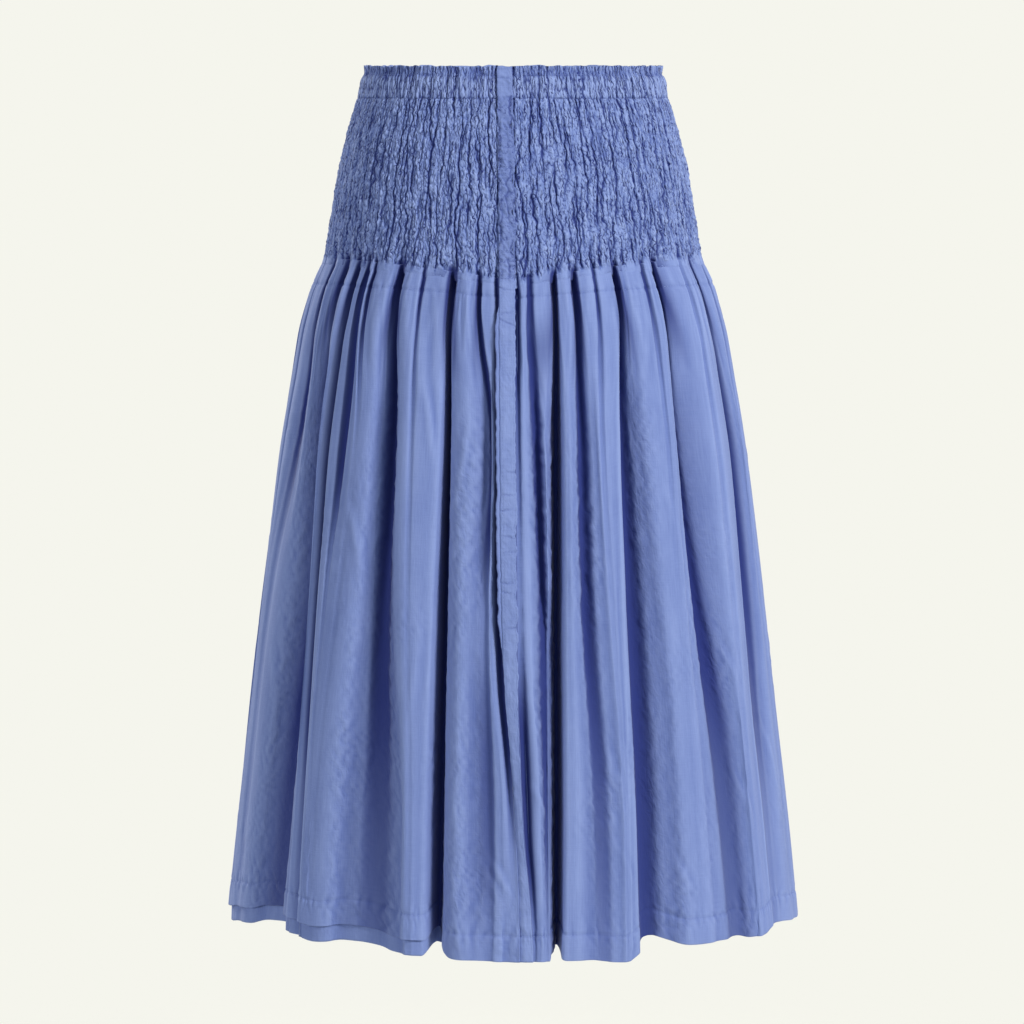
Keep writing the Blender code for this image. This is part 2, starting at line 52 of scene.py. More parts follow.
# Linear colours.
COTTON = (0.172, 0.242, 0.545)
# A paler copy of the cotton for the smocked and gathered cloth, painted lighter to make up for the shade of
# its crinkles.
SMOCKED_PAINTED_LIGHTER = (0.190, 0.266, 0.580)
# A darker copy of the cotton, as painted shade, for the layer under the hem.
SHADED_UNDER_COTTON = (0.158, 0.224, 0.515)
THREAD = (0.230, 0.305, 0.600)
# Painted shade: the dark navy that the cloth's colour is mixed towards in its folds, grooves and cracks.
PAINTED_SHADE = (0.010, 0.022, 0.170)
BACKGROUND = (0.913, 0.913, 0.846)

SIDE_SEAM = math.radians(90)
CLOTH = 0.9 * MM
WALL = 1.2 * MM

# The outer form: the figure down to the hips, and the flare of the cloth below them.
Section = namedtuple("Section", "height half_width half_depth")
FORM = [
    Section(-0.7625, 0.2643, 0.2150),
    Section(-0.6555, 0.2537, 0.2080),
    Section(-0.5635, 0.2437, 0.2000),
    Section(-0.4715, 0.2328, 0.1900),
    Section(-0.3790, 0.2212, 0.1770),
    Section(-0.3240, 0.2140, 0.1680),
    Section(-0.2690, 0.2048, 0.1560),
    Section(-0.2135, 0.1945, 0.1425),
    Section(-0.1860, 0.1862, 0.1345),
    Section(-0.1580, 0.1745, 0.1265),
    Section(-0.1310, 0.1690, 0.1215),
    Section(-0.0755, 0.1595, 0.1130),
    Section(-0.0480, 0.1530, 0.1070),
    Section(-0.0200, 0.1450, 0.1005),
    Section(-0.0060, 0.1405, 0.0975),
    Section(0.0045, 0.1385, 0.0965),
    Section(0.0115, 0.1362, 0.0940),
    Section(0.0205, 0.1365, 0.0942),
]

TOP_EDGE = 0.0205
HEADER_LINE = 0.0125
CASING_EDGE = -0.0098
WAIST_DIP = 0.0060
YOKE_EDGE_SIDE = -0.1580
YOKE_FRONT_DIP = 0.0184
YOKE_BACK_DIP = 0.0060
YOKE_DIP_POWER = 1.5
YOKE_MIDDLE = -0.0800
HEM_HEIGHT = -0.7625

# How far the hem drops below its height at the back in millimetres, by the angle in degrees.
HemDrop = namedtuple("HemDrop", "angle drop")
HEM_DROPS = [
    HemDrop(*row)
    for row in (
        (-112, 0.0), (-95, 4.0), (-84, 7.5), (-76, 3.0), (-60, 0.5), (-49, 1.0),
        (-44, 4.5), (-36, 3.5), (-30, 7.5), (-22, 9.5), (-8, 11.5), (14, 12.0),
        (24.5, 11.5), (27, 4.5), (36, 4.0), (50, 5.0), (60, 5.0), (65, -1.0),
        (76, 1.0), (90, 3.5), (105, 0.0),
    )
]

# Where the left front's hem hangs higher and shows the layer under it.
HEM_LIFT = 0.0150
LIFT_FROM = (math.radians(-114), math.radians(-92))
LIFT_TO = (math.radians(-16), math.radians(-13.5))
VALLEY_LIFT = 0.34
LIFTED_FROM = (6 * MM, 15 * MM)

# The folds of the lower part, with one value for each level, which is a share of the way from the yoke's edge
# down to the hem. Angles are in degrees, depths and mouths in millimetres. The slopes say how gently the
# cloth falls towards the fold from its left and from its right, from 0 to 1, or up to 2 where it runs on into
# the next fold. The lean moves a fold's floor sideways, in half mouths.
LEVELS = (0.04, 0.23, 0.49, 0.77, 1.0)
Fold = namedtuple("Fold", "angles depths mouths slopes lean", defaults=((0.0, 0.0), 0.0))
LEFT_FOLDS = {
    "side": Fold((-81, -81, -82.5, -83, -83), (5, 4, 2, 1, 1), (5, 7, 9, 11, 11), (0.2, 0.2)),
    "edge": Fold((-70.5, -69.5, -74, -75, -75), (13, 9, 3, 2, 2), (7, 10, 18, 24, 26), (0.3, 0.3)),
    "broad": Fold((-60.4, -59.3, -55.6, -57, -58), (20, 27, 26, 20, 16), (8, 11, 18, 28, 31), (1, 0.3), 0.7),
    "knife": Fold((-53.6, -53.8, -51.5, -49.5, -48.6), (18, 21, 15, 6, 4), (6, 8, 8, 8, 8), (0.2, 0.0), 1.0),
    "short": Fold((-48, -47, -47, -46.6, -45.9), (10, 10, 2, 0.2, 0.1), (6, 9, 8, 4, 4)),
    "nip": Fold((-45, -42, -42.5, -44.4, -44.0), (8, 1, 0.4, 0.2, 0.1), (4, 6, 6, 4, 4)),
    "middle": Fold((-34.7, -33.2, -32.3, -30.5, -29.6), (16, 25, 24, 17, 13), (7, 9, 14, 28, 36), (0.6, 1.0)),
    "gather": Fold((-26.6, -25.4, -24, -21.6, -20.6), (6, 2, 0.4, 0.2, 0.1), (5, 7, 5, 4, 4)),
    "deep": Fold((-17.6, -16.9, -16.6, -16.3, -15.9), (17, 28, 33, 34, 32), (8, 7, 9.5, 12, 12.5), (0, 0.4)),
    "soft": Fold((-9.6, -4.8, -6.4, -5.8, -5.6), (10, 13, 5, 9, 4), (5, 7, 14, 20, 24), (0.7, 0.3), 0.3),
}
RIGHT_FOLDS = {
    "slant": Fold((4.6, 5.8, 7.0, 6.9, 6.6), (6, 14, 13, 9, 3), (7, 8, 10, 13, 10), (0.8, 2.0)),
    "deep": Fold((11.5, 10.8, 9.7, 8.9, 8.3), (15, 28, 32, 33, 32), (6, 9, 11, 13, 12), (2.0, 0.0), 0.7),
    "soft": Fold((17.8, 17.4, 16.8, 18.2, 18.0), (14, 15, 14, 9, 6), (6, 11, 15, 17, 19), (0.6, 0.5)),
    "gather": Fold((23.8, 22, 22.4, 23.2, 22.6), (5, 2, 0.4, 0.2, 0.1), (5, 7, 4, 2, 2)),
    "edge": Fold((31.1, 29.3, 29.0, 28.7, 27.8), (17, 23, 23, 22, 20), (6, 12, 20, 27, 29), (0.0, 0.7)),
    "pinch": Fold((41.3, 41, 40, 40, 40), (5, 2, 0.4, 0.2, 0.1), (5, 8, 6, 4, 4)),
    "broad": Fold((46.6, 46.3, 48.0, 51.6, 52.4), (16, 21, 20, 14, 11), (6, 9, 18, 28, 32), (0.2, 0.7)),
    "short": Fold((60, 60, 59.5, 59, 59.5), (3, 2, 0.6, 0.3, 0.2), (5, 8, 8, 6, 6)),
    "knife": Fold((69.3, 74, 71.2, 67.4, 65.8), (13, 18, 13, 6, 4), (6, 14, 18, 14, 12), (0.2, 0.4)),
    "side": Fold((81, 81.5, 80, 79.5, 79.5), (4, 3, 2, 1, 1), (5, 7, 12, 16, 17), (0.2, 0.2)),
}

# Edges that the cloth was pressed along, each a thin ridge with a painted highlight: how far from the middle
# of a fold in half mouths, and from where to where down the cloth.
Pressed = namedtuple("Pressed", "fold across start end")
PRESSED = (
    Pressed(LEFT_FOLDS["knife"], 1.3, 0.42, 0.99),
    Pressed(RIGHT_FOLDS["edge"], -1.3, 0.10, 1.0),
    Pressed(RIGHT_FOLDS["knife"], -1.3, 0.22, 0.97),
)
PRESSED_WIDTH = 1.5 * MM

# The back's folds go by turns: two deep ones, then a broad one, with a gather between each two.
BackFold = namedtuple("BackFold", "depths mouths leans")
BACK_DEEP = BackFold((15, 25, 28, 26, 25), (6, 9, 12, 13, 13), (-0.7, 0.0, 0.0, 0.7))
BACK_BROAD = BackFold((12, 19, 15, 11, 10), (6, 9, 16, 22, 24), (0.0,))
BACK_GATHERS = (
    BackFold((9, 6, 1, 1, 1), (5, 8, 10, 12, 13), (0.0,)),
    BackFold((9, 10, 6, 4, 3), (5, 8, 10, 12, 13), (0.0,)),
)
BACK_FOLDS = 10
BACK_FIRST = 99.0
BACK_LAST = 261.0
BACK_JITTER = 2.8
BACK_DRIFT = 1.2
BACK_SCALES = (0.85, 1.1)
BACK_BETWEEN = (0.45, 0.55)
BACK_SEED = 11
BACK_SLOPES = (0.3, 0.4)

# Across a fold: steps from its centre in half mouths, and the share of its depth there on a steep and on a
# gentle side.
SHOULDER = 2.0
Step = namedtuple("Step", "across steep gentle")
HALF_PROFILE = (
    Step(0.60, 0.80, 0.90),
    Step(0.90, 0.34, 0.72),
    Step(1.15, 0.03, 0.46),
    Step(SHOULDER, 0.0, 0.10),
)
MIRRORED_PROFILE = tuple(step._replace(across=-step.across) for step in HALF_PROFILE[::-1])
PROFILE = (*MIRRORED_PROFILE, Step(0.0, 1.0, 1.0), *HALF_PROFILE)
CROWDING = 0.97
LEAST_ROOM = 0.15
CREST_ROUNDING = 1.2 * MM
SEAM_MARGIN = math.radians(3.5)
CREST_STEP = 15 * MM
CREST_STEPS = 6

# How far a crest falls away towards its deep folds, as a share of its width, and how much more on a full
# slope.
ARCH = 0.060
ARCH_MOST = 3.6 * MM
SLOPE_FALL = 9.5 * MM
SLOPE_SHARE = 0.40
# The most painted shade a crest's slopes get, and how far folds that run together fall before theirs is full.
SLOPE_GLOOM = 0.45
MERGED_GLOOM = 8 * MM
LOOSE_FALL = (0.5 * MM, 5 * MM)
OBLIQUE = (0.5, 0.9)
FALL_POWER = 2.6
GLOOM_POWER = 4.0
DEEP_FOLD = (2 * MM, 8 * MM)
SLOPE_FROM = (0.0, 0.28)
MERGED_FROM = (0.42, 0.56)
SEAM_DEPTH = 5.5 * MM

# The placket band: its free edge from the front centre and its width, in millimetres, and its turn about the
# upright in degrees.
Placket = namedtuple("Placket", "height edge turn width")
PLACKET = [
    Placket(-0.7625, 17.6, 0, 12.4),
    Placket(-0.7250, 15.0, 8, 11.0),
    Placket(-0.7000, 12.6, 14, 9.6),
    Placket(-0.6720, 9.6, 18, 8.2),
    Placket(-0.6300, 7.2, 20, 7.8),
    Placket(-0.5900, 5.6, 18, 9.0),
    Placket(-0.5400, 4.2, 12, 11.8),
    Placket(-0.4600, 3.7, 4, 13.7),
    Placket(-0.3000, 2.5, 0, 14.0),
    Placket(-0.1900, 1.6, 0, 14.0),
    Placket(-0.1000, 1.2, 0, 14.0),
    Placket(0.0145, -0.6, 0, 14.0),
]
PLACKET_WIDTH = 14 * MM
PLACKET_PROUD = 1.0 * MM
UNDER_BAND_BEHIND = 1.7 * MM
UNDER_THE_BAND = 1.2 * MM

# Beside the band, on its left and its right: the depths and mouths of the valley there, how low the crest
# before it lies, and where the cloth passes under the band, across it and behind it.
Beside = namedtuple("Beside", "depths mouths crests across behind")
UNDER_SHARE = UNDER_THE_BAND / PLACKET_WIDTH
BESIDE_PLACKET = {
    -1: Beside((8, 12, 14, 5, 0.5), (5, 3.8, 5.5, 5.5, 8), (1, 3, 3.5, 1.5, 2.5), UNDER_SHARE, CLOTH),
    1: Beside((8, 5, 2.5, 10, 2), (4, 4.5, 6, 8, 4), (1, 1, 1, 1, 1), 1 - UNDER_SHARE, UNDER_BAND_BEHIND),
}
BESIDE_PROFILE = ((2.0, 0.0), (1.25, 0.10), (0.95, 0.72), (0.50, 1.0))

# How finely the cloth is divided.
SKIRT_LENGTH = 0.600
FRONT_COLUMN = 2.4 * MM
BACK_COLUMN = 3.5 * MM
FRONT_ROW = 4.0 * MM
BACK_ROW = 6.0 * MM
FINE_ROW = 1.6 * MM
TOP_FINE = 0.045
HEM_FINE = 0.032
TOP_ROWS = 14 * MM

# The rows of stitches: below the yoke, up from the hem, and the threads themselves.
UPPER_STITCHES = 5.0 * MM
LOWER_STITCHES = 23.0 * MM
LOWER_STITCHES_RISE = 0.42
HEM_LINE = 0.0225
STITCH_PITCH = 3.1 * MM
STITCH_LENGTH = 2.3 * MM
STITCH_THICKNESS = 0.5 * MM

# The noise repeats after so many cells. Along one line it runs through the middle of a row of them.
NOISE_CELLS = 128
MID_CELL = 0.5
CREASED_MEAN = 0.45
TINY = 1e-12


def smooth(places, values, at):
    """The smooth curve through a table's points, with slopes taken from the neighbouring points."""
    places, values = np.asarray(places, float), np.asarray(values, float)
    slopes = np.gradient(values, places)
    at = np.clip(at, places[0], places[-1])
    i = np.clip(np.searchsorted(places, at) - 1, 0, len(places) - 2)
    step = places[i + 1] - places[i]
    t = (at - places[i]) / step
    return (
        (1 + 2 * t) * (1 - t) ** 2 * values[i]
        + t * (1 - t) ** 2 * step * slopes[i]
        + t * t * (3 - 2 * t) * values[i + 1]
        + t * t * (t - 1) * step * slopes[i + 1]
    )


def looked_up(table, field, at, unit=1.0):
    """The smooth curve through one field of a table, whose first field says where each of its rows lies."""
    return smooth([row[0] for row in table], [getattr(row, field) * unit for row in table], at)


def ease(start, end, at):
    """0 before start and 1 after end, with a smooth rise between them."""
    t = np.clip((at - start) / (end - start), 0, 1)
    return t * t * (3 - 2 * t)


def bump(at, centre, width):
    return np.exp(-(((at - centre) / width) ** 2))


def noise(u, v, seed):
    """Smooth uneven values, mostly from -1 to 1, over a plane whose cells are one unit across."""
    turns = np.random.default_rng(seed).uniform(0, 2 * math.pi, (NOISE_CELLS, NOISE_CELLS))
    u, v = np.broadcast_arrays(u, v)
    i, j = np.floor(u).astype(int), np.floor(v).astype(int)
    x, y = u - i, v - j
    across, down = x**3 * (x * (6 * x - 15) + 10), y**3 * (y * (6 * y - 15) + 10)
    total = 0.0
    for a, b in ((0, 0), (0, 1), (1, 0), (1, 1)):
        turn = turns[(i + a) % NOISE_CELLS, (j + b) % NOISE_CELLS]
        push = np.cos(turn) * (x - a) + np.sin(turn) * (y - b)
        total = total + push * (across if a else 1 - across) * (down if b else 1 - down)
    return 1.6 * total


def creased(u, v, seed):
    """Pillows between sharp creases, from 0 in a crease to about 1, over cells one unit across."""
    return np.abs(noise(u, v, seed)) ** 0.8


def puckered(u, v, seed):
    """Pillows and creases that stand about as far out of the cloth as into it."""
    return creased(u, v, seed) - CREASED_MEAN


def uneven(u, seed):
    """Noise along one line."""
    return noise(u, MID_CELL, seed)


# Uneven ripples: how far they stand out, how wide and how long their spots are, and what sets them apart.
Ripple = namedtuple("Ripple", "much wide long seed")


def rippled(ripples, u, v, seed):
    """The sum of these ripples over a stretch of cloth."""
    total = 0.0
    for ripple in ripples:
        total = total + ripple.much * noise(u / ripple.wide, v / ripple.long, seed + ripple.seed)
    return total


# The form


def half_width(height):
    return looked_up(FORM, "half_width", height)


def half_depth(height):
    return looked_up(FORM, "half_depth", height)


def form_point(angle, height, depth):
    """The point that lies a depth inside the outer form."""
    wide, deep = half_width(height), half_depth(height)
    out_x, out_y = np.sin(angle) / wide, -np.cos(angle) / deep
    length = np.hypot(out_x, out_y)
    x = wide * np.sin(angle) - depth * out_x / length
    y = -deep * np.cos(angle) - depth * out_y / length
    return np.stack([x, y, height + np.zeros_like(x)], axis=-1)


def angle_of(point):
    x, y, height = np.moveaxis(np.asarray(point)[..., :3], -1, 0)
    return np.arctan2(x / half_width(height), -y / half_depth(height))


def form_depth(points):
    """How far points lie inside the outer form."""
    x, y, height = np.moveaxis(points, -1, 0)
    wide, deep = half_width(height), half_depth(height)
    reach = np.hypot(x / wide, y / deep)
    return (1 - reach) * reach / np.hypot(x / wide**2, y / deep**2)


def speed(angle, height):
    """Metres along the outer form for each radian."""
    return np.hypot(half_width(height) * np.cos(angle), half_depth(height) * np.sin(angle))


def even_angles(start, end, count):
    """Angles that are equally far apart along the yoke, and their places along it."""
    fine = np.linspace(start, end, 400)
    along = np.concatenate([[0], np.cumsum(speed((fine[1:] + fine[:-1]) / 2, YOKE_MIDDLE) * np.diff(fine))])
    places = np.linspace(0, along[-1], count)
    return np.interp(places, along, fine), places


def waist_height(height, angle):
    """A height given at the back of the waist, where it comes at this angle."""
    return height - WAIST_DIP * (1 + np.cos(angle)) / 2


def front_dip(angle):
    return YOKE_FRONT_DIP * (1 - np.abs(np.sin(angle))) ** YOKE_DIP_POWER


def yoke_edge(angle):
    back = YOKE_BACK_DIP * np.cos(angle) ** 2
    return YOKE_EDGE_SIDE - np.where(np.cos(angle) > 0, front_dip(angle), back)


def half_turned(angle):
    return (angle + math.pi) % (2 * math.pi) - math.pi


def hem_drop(angle):
    return looked_up(HEM_DROPS, "drop", np.degrees(half_turned(angle)), MM)


def hem_lift(angle):
    turned = half_turned(angle)
    return HEM_LIFT * ease(*LIFT_FROM, turned) * (1 - ease(*LIFT_TO, turned))


# The folds


def level_value(values, share):
    return smooth((0.0, *LEVELS), (values[0], *values), share)


def fold_depth(depths, share):
    """A fold's depth in metres. It is shallower where the cloth joins the yoke."""
    full = np.maximum(0.0, level_value(depths, share)) * MM
    start = np.minimum(SEAM_DEPTH, full)
    return start + (full - start) * ease(-0.01, 0.6 * LEVELS[0], share)


def back_folds():
    """The back's folds, which the seeded chance keeps from being alike."""
    chance = random.Random(BACK_SEED)
    step = (BACK_LAST - BACK_FIRST) / (BACK_FOLDS - 1)
    folds = []
    for i in range(BACK_FOLDS):
        kind = BACK_BROAD if i % 3 == 1 else BACK_DEEP
        angle = BACK_FIRST + i * step + chance.uniform(-BACK_JITTER, BACK_JITTER)
        angles = tuple(angle + chance.uniform(-BACK_DRIFT, BACK_DRIFT) * share for share in LEVELS)
        scale = chance.uniform(*BACK_SCALES)
        depths = tuple(depth * scale for depth in kind.depths)
        lean = chance.choice(kind.leans)
        folds.append(Fold(angles, depths, kind.mouths, BACK_SLOPES, lean))
        if i < BACK_FOLDS - 1:
            between = angle + step * chance.uniform(*BACK_BETWEEN)
            kind = chance.choice(BACK_GATHERS)
            folds.append(Fold((between,) * len(LEVELS), kind.depths, kind.mouths))
    return folds


def ring_height(angle, depth, share):
    top = yoke_edge(angle)
    hem = HEM_HEIGHT - hem_drop(angle) + hem_lift(angle) + VALLEY_LIFT * depth * ease(*LIFTED_FROM, depth)
    return top + share * (hem - top)


def ring_point(angle, depth, gloom, loose, share):
    """A control of the cloth: its place, then its depth, its gloom, which is painted into its colour as shade,
    and how loosely it hangs there.
    """
    angle, depth, gloom, loose, share = np.broadcast_arrays(angle, depth, gloom, loose, share)
    point = form_point(angle, ring_height(angle, depth, share), depth + WALL / 2)
    return np.concatenate([point, depth[..., None], gloom[..., None], loose[..., None]], axis=-1)


def fold_gloom(down, depth, mouth, angle):
    """How little light comes this far down into a fold of that depth and mouth, from 0 to 1. It is painted
    into the cloth's colour as shade.
    """
    oblique = ease(*OBLIQUE, np.abs(np.sin(angle)))
    narrow = ease(-0.3, 0.9, depth / mouth) * ease(2 * MM, 8 * MM, depth)
    return (0.95 + 0.05 * oblique) * ease(0.10 - 0.09 * oblique, 0.80 - 0.40 * oblique, down) * narrow


def half_mouths(fold, share, limits):
    """Half of a fold's mouth on its left and on its right. Limits keep it clear of its neighbours."""
    centre = np.radians(level_value(fold.angles, share))
    room = speed(centre, ring_height(centre, 0.0, share)) / SHOULDER * CROWDING
    half = level_value(fold.mouths, share) * MM / 2
    return np.minimum(half, room * (centre - limits[0])), np.minimum(half, room * (limits[1] - centre))


def fold_controls(fold, share, halves, crests):
    """The controls of one fold: angles, depths, glooms of painted shade, and looseness."""
    centre = np.radians(level_value(fold.angles, share))
    depth = fold_depth(fold.depths, share)
    metres = speed(centre, ring_height(centre, 0.0, share))
    mouth = level_value(fold.mouths, share) * MM
    rows = []
    for across, steep, gentle in PROFILE:
        side = int(across > 0)
        slope = min(1.0, fold.slopes[side]) * ease(*SLOPE_FROM, share)
        down = steep + (gentle - steep) * slope
        step = across * halves[side] + fold.lean * down * halves[int(fold.lean > 0)]
        fall, dim = crests[side]
        gloom = np.maximum(fold_gloom(down, depth, mouth, centre), dim)
        loose = 4 * down * (1 - down) * slope * ease(*DEEP_FOLD, depth)
        rows.append((centre + step / metres, depth * down + fall * (1 - down), gloom, loose))
    return rows


def crest_falls(before, after, share, taken, depths, slopes):
    """How far the crest between two folds falls at its start and at its end, and how much painted shade it
    gets there.
    """
    middle = (before + after) / 2
    width = speed(middle, ring_height(middle, 0.0, share)) * (after - before)
    arch = CREST_ROUNDING + np.minimum(ARCH * width, ARCH_MOST)
    most = np.clip(SLOPE_SHARE * (width - taken), 0, SLOPE_FALL) * ease(*SLOPE_FROM, share)
    merged = max(0.0, min(slopes) - 1) * np.minimum(*depths) * ease(*MERGED_FROM, share)
    ends = []
    for depth, slope in zip(depths, slopes):
        near = ease(*DEEP_FOLD, depth)
        fall = np.maximum((arch + most * min(1.0, slope)) * near, merged)
        dim = most * slope * near / SLOPE_FALL + merged / MERGED_GLOOM
        ends.append((fall, SLOPE_GLOOM * np.minimum(1.0, dim)))
    return ends


def between_controls(before, after, count, start, end):
    """Controls on the crest between two folds, from how far it falls and how much painted shade it gets at
    each end.
    """
    controls = []
    for i in range(count):
        share = (i + 1) / (count + 1)
        fall = start[0] * (1 - share) ** FALL_POWER + end[0] * share**FALL_POWER
        gloom = start[1] * (1 - share) ** GLOOM_POWER + end[1] * share**GLOOM_POWER
        controls.append((before + (after - before) * share, fall, gloom, ease(*LOOSE_FALL, fall)))
    return controls


def crest_count(before, after):
    """How many controls the crest between two folds takes, from its width at the hem."""
    gap = math.radians(after.angles[-1] - before.angles[-1])
    width = gap * float(speed(math.radians(before.angles[-1]) + gap / 2, HEM_HEIGHT))
    return int(np.clip(width / CREST_STEP - 1, 0, CREST_STEPS))


def panel_controls(folds, share, start, end):
    """The controls of a row of folds between two angles."""
    centres = [np.radians(level_value(f.angles, share)) for f in folds]
    stops = [start, *centres, end]
    slopes = [0.0, 0.0] + [slope for fold in folds for slope in fold.slopes] + [0.0]
    slopes = list(zip(slopes[1::2], slopes[2::2] + [0.0]))
    depths = [0.0] + [fold_depth(fold.depths, share) for fold in folds] + [0.0]
    limits = [start]
    for i in range(1, len(folds)):
        room = (depths[i] + MM) / (depths[i] + depths[i + 1] + 2 * MM)
        limits.append(stops[i] + (stops[i + 1] - stops[i]) * (LEAST_ROOM + (1 - 2 * LEAST_ROOM) * room))
    limits.append(end)
    halves = [half_mouths(fold, share, limits[i : i + 2]) for i, fold in enumerate(folds)]
    halves = [(0.0, 0.0)] + halves + [(0.0, 0.0)]
    falls = []
    for i in range(len(folds) + 1):
        taken = SHOULDER * (halves[i][1] + halves[i + 1][0])
        falls.append(crest_falls(stops[i], stops[i + 1], share, taken, depths[i : i + 2], slopes[i]))
    rows = []
    for i, fold in enumerate(folds):
        rows.append(fold_controls(fold, share, halves[i + 1], (falls[i][1], falls[i + 1][0])))
    controls = list(rows[0])
    for i in range(1, len(rows)):
        count = crest_count(folds[i - 1], folds[i])
        controls += between_controls(controls[-1][0], rows[i][0][0], count, *falls[i])
        controls += rows[i]
    return controls


def side_controls(seam):
    return [(seam + step, 0.0, 0.0, 0.0) for step in (-SEAM_MARGIN, 0.0, SEAM_MARGIN)]


def ring_points(controls, share):
    return [ring_point(*control, share) for control in controls]


def mirrored_end(points):
    """One more control past the end, so that the spline ends on the last point."""
    return 2 * points[-1] - points[-2]


# The placket's line


def placket_line(height, across, behind):
    """Points of the band. Across runs from 0 at its sewn edge to 1 at its free edge. Behind is inwards."""
    edge = looked_up(PLACKET, "edge", height, MM)
    turn = np.radians(looked_up(PLACKET, "turn", height))
    width = looked_up(PLACKET, "width", height, MM)
    free = form_point(np.arcsin(edge / half_width(height)), height, -PLACKET_PROUD)
    along = np.stack([np.cos(turn), -np.sin(turn), 0 * turn], axis=-1)
    inwards = np.stack([np.sin(turn), np.cos(turn), 0 * turn], axis=-1)
    across, behind = np.asarray(across), np.asarray(behind)
    return free - along * (width * (1 - across))[..., None] + inwards * behind[..., None]


def beside_placket(share, side):
    """The valley beside the placket, from the crest to where the cloth passes under the band."""
    beside = BESIDE_PLACKET[side]
    depth = fold_depth(beside.depths, share)
    mouth = level_value(beside.mouths, share) * MM
    crest = level_value(beside.crests, share) * MM
    height = ring_height(0.0, 0.0, share)
    edge = placket_line(height, beside.across, beside.behind)
    edge_depth = edge[:, 1] + half_depth(height)
    depth = np.maximum(depth, edge_depth + 0.5 * MM)
    points = []
    for out, down in BESIDE_PROFILE:
        angle = np.arcsin((edge[:, 0] + side * out * mouth) / half_width(height))
        gloom = fold_gloom(down, depth, mouth, 0.0)
        points.append(ring_point(angle, depth * down + crest * (1 - down), gloom, 0.0, share))
    last = np.stack([edge_depth, fold_gloom(1.0, depth, mouth, 0.0), 0 * depth], axis=-1)
    points.append(np.concatenate([edge, last], axis=-1))
    return points


def left_controls(share):
    """The left front's controls at each share, from its side seam to the placket."""
    beside = beside_placket(share, -1)
    start = side_controls(-SIDE_SEAM)
    middle = panel_controls(list(LEFT_FOLDS.values()), share, start[-1][0], angle_of(beside[0]))
    points = ring_points(start + middle, share) + beside
    return np.stack(points + [mirrored_end(points)], axis=1)


def right_controls(share):
    """The right front's controls at each share, from the placket to its side seam."""
    beside = beside_placket(share, 1)[::-1]
    end = side_controls(SIDE_SEAM)
    middle = panel_controls(list(RIGHT_FOLDS.values()), share, angle_of(beside[-1]), end[0][0])
    points = beside + ring_points(middle + end, share)
    return np.stack([mirrored_end(points[::-1])] + points, axis=1)


def back_controls(share):
    """The back's controls at each share, from the right side seam to the left one."""
    start, end = side_controls(SIDE_SEAM), side_controls(3 * SIDE_SEAM)
    middle = panel_controls(back_folds(), share, start[-1][0], end[0][0])
    return np.stack(ring_points(start + middle + end, share), axis=1)


# Grids of cloth


def spline(controls, spacing):
    """Rows of points along the cubic B-splines of the controls, no further apart than the spacing."""
    knots = (controls[:, :-2] + 4 * controls[:, 1:-1] + controls[:, 2:]) / 6
    spans = np.linalg.norm(np.diff(knots[..., :3], axis=1), axis=-1).max(axis=0)
    steps = np.maximum(2, np.ceil(spans / spacing)).astype(int)
    at = np.concatenate([i + np.arange(n) / n for i, n in enumerate(steps)] + [[len(spans)]])
    i = np.minimum(at.astype(int), len(spans) - 1)
    t = at - i
    weights = ((1 - t) ** 3, 3 * t**3 - 6 * t**2 + 4, -3 * t**3 + 3 * t**2 + 3 * t + 1, t**3)
    return sum(weight[:, None] / 6 * controls[:, i + k] for k, weight in enumerate(weights))


def row_places(step):
    """How far down each row of the lower part lies. The rows are closer near the yoke and at the hem."""
    places = [0.0]
    while places[-1] < SKIRT_LENGTH:
        v = places[-1]
        fine = v < TOP_FINE or v > SKIRT_LENGTH - HEM_FINE
        places.append(min(v + (FINE_ROW if fine else step), SKIRT_LENGTH))
    return np.array(places)


def normals(grid):
    """The outward directions of a grid whose rows run towards +X at the front."""
    out = np.cross(np.gradient(grid, axis=0), np.gradient(grid, axis=1))
    return out / np.maximum(np.linalg.norm(out, axis=-1, keepdims=True), TINY)


def along_row(row):
    """The distance of each point of a row from its start."""
    return np.concatenate([[0], np.cumsum(np.linalg.norm(np.diff(row, axis=0), axis=1))])


def on_line(length, values, at):
    """The values along a line at these distances from its start."""
    return np.stack([np.interp(at, length, column) for column in values.T], axis=-1)


def every(count, step):
    """Every so many of a grid's lines, with the last one."""
    return np.unique(np.append(np.arange(0, count, step), count - 1))


def quads(index):
    corners = (index[:-1, :-1], index[1:, :-1], index[1:, 1:], index[:-1, 1:])
    return np.stack(corners, axis=-1).reshape(-1, 4).tolist()


def zipped(first, second):
    """Triangles between two lines of points that run side by side and may differ in number."""
    faces, i, j = [], 0, 0
    while (i, j) != (len(first) - 1, len(second) - 1):
        ahead = (i + 1) / (len(first) - 1) <= (j + 1) / (len(second) - 1)
        if i < len(first) - 1 and (j == len(second) - 1 or ahead):
            faces.append((first[i], first[i + 1], second[j]))
            i += 1
        else:
            faces.append((first[i], second[j + 1], second[j]))
            j += 1
    return faces


def linked(name, data):
    """An object of this data in the scene."""
    made = bpy.data.objects.new(name, data)
    bpy.context.scene.collection.objects.link(made)
    return made


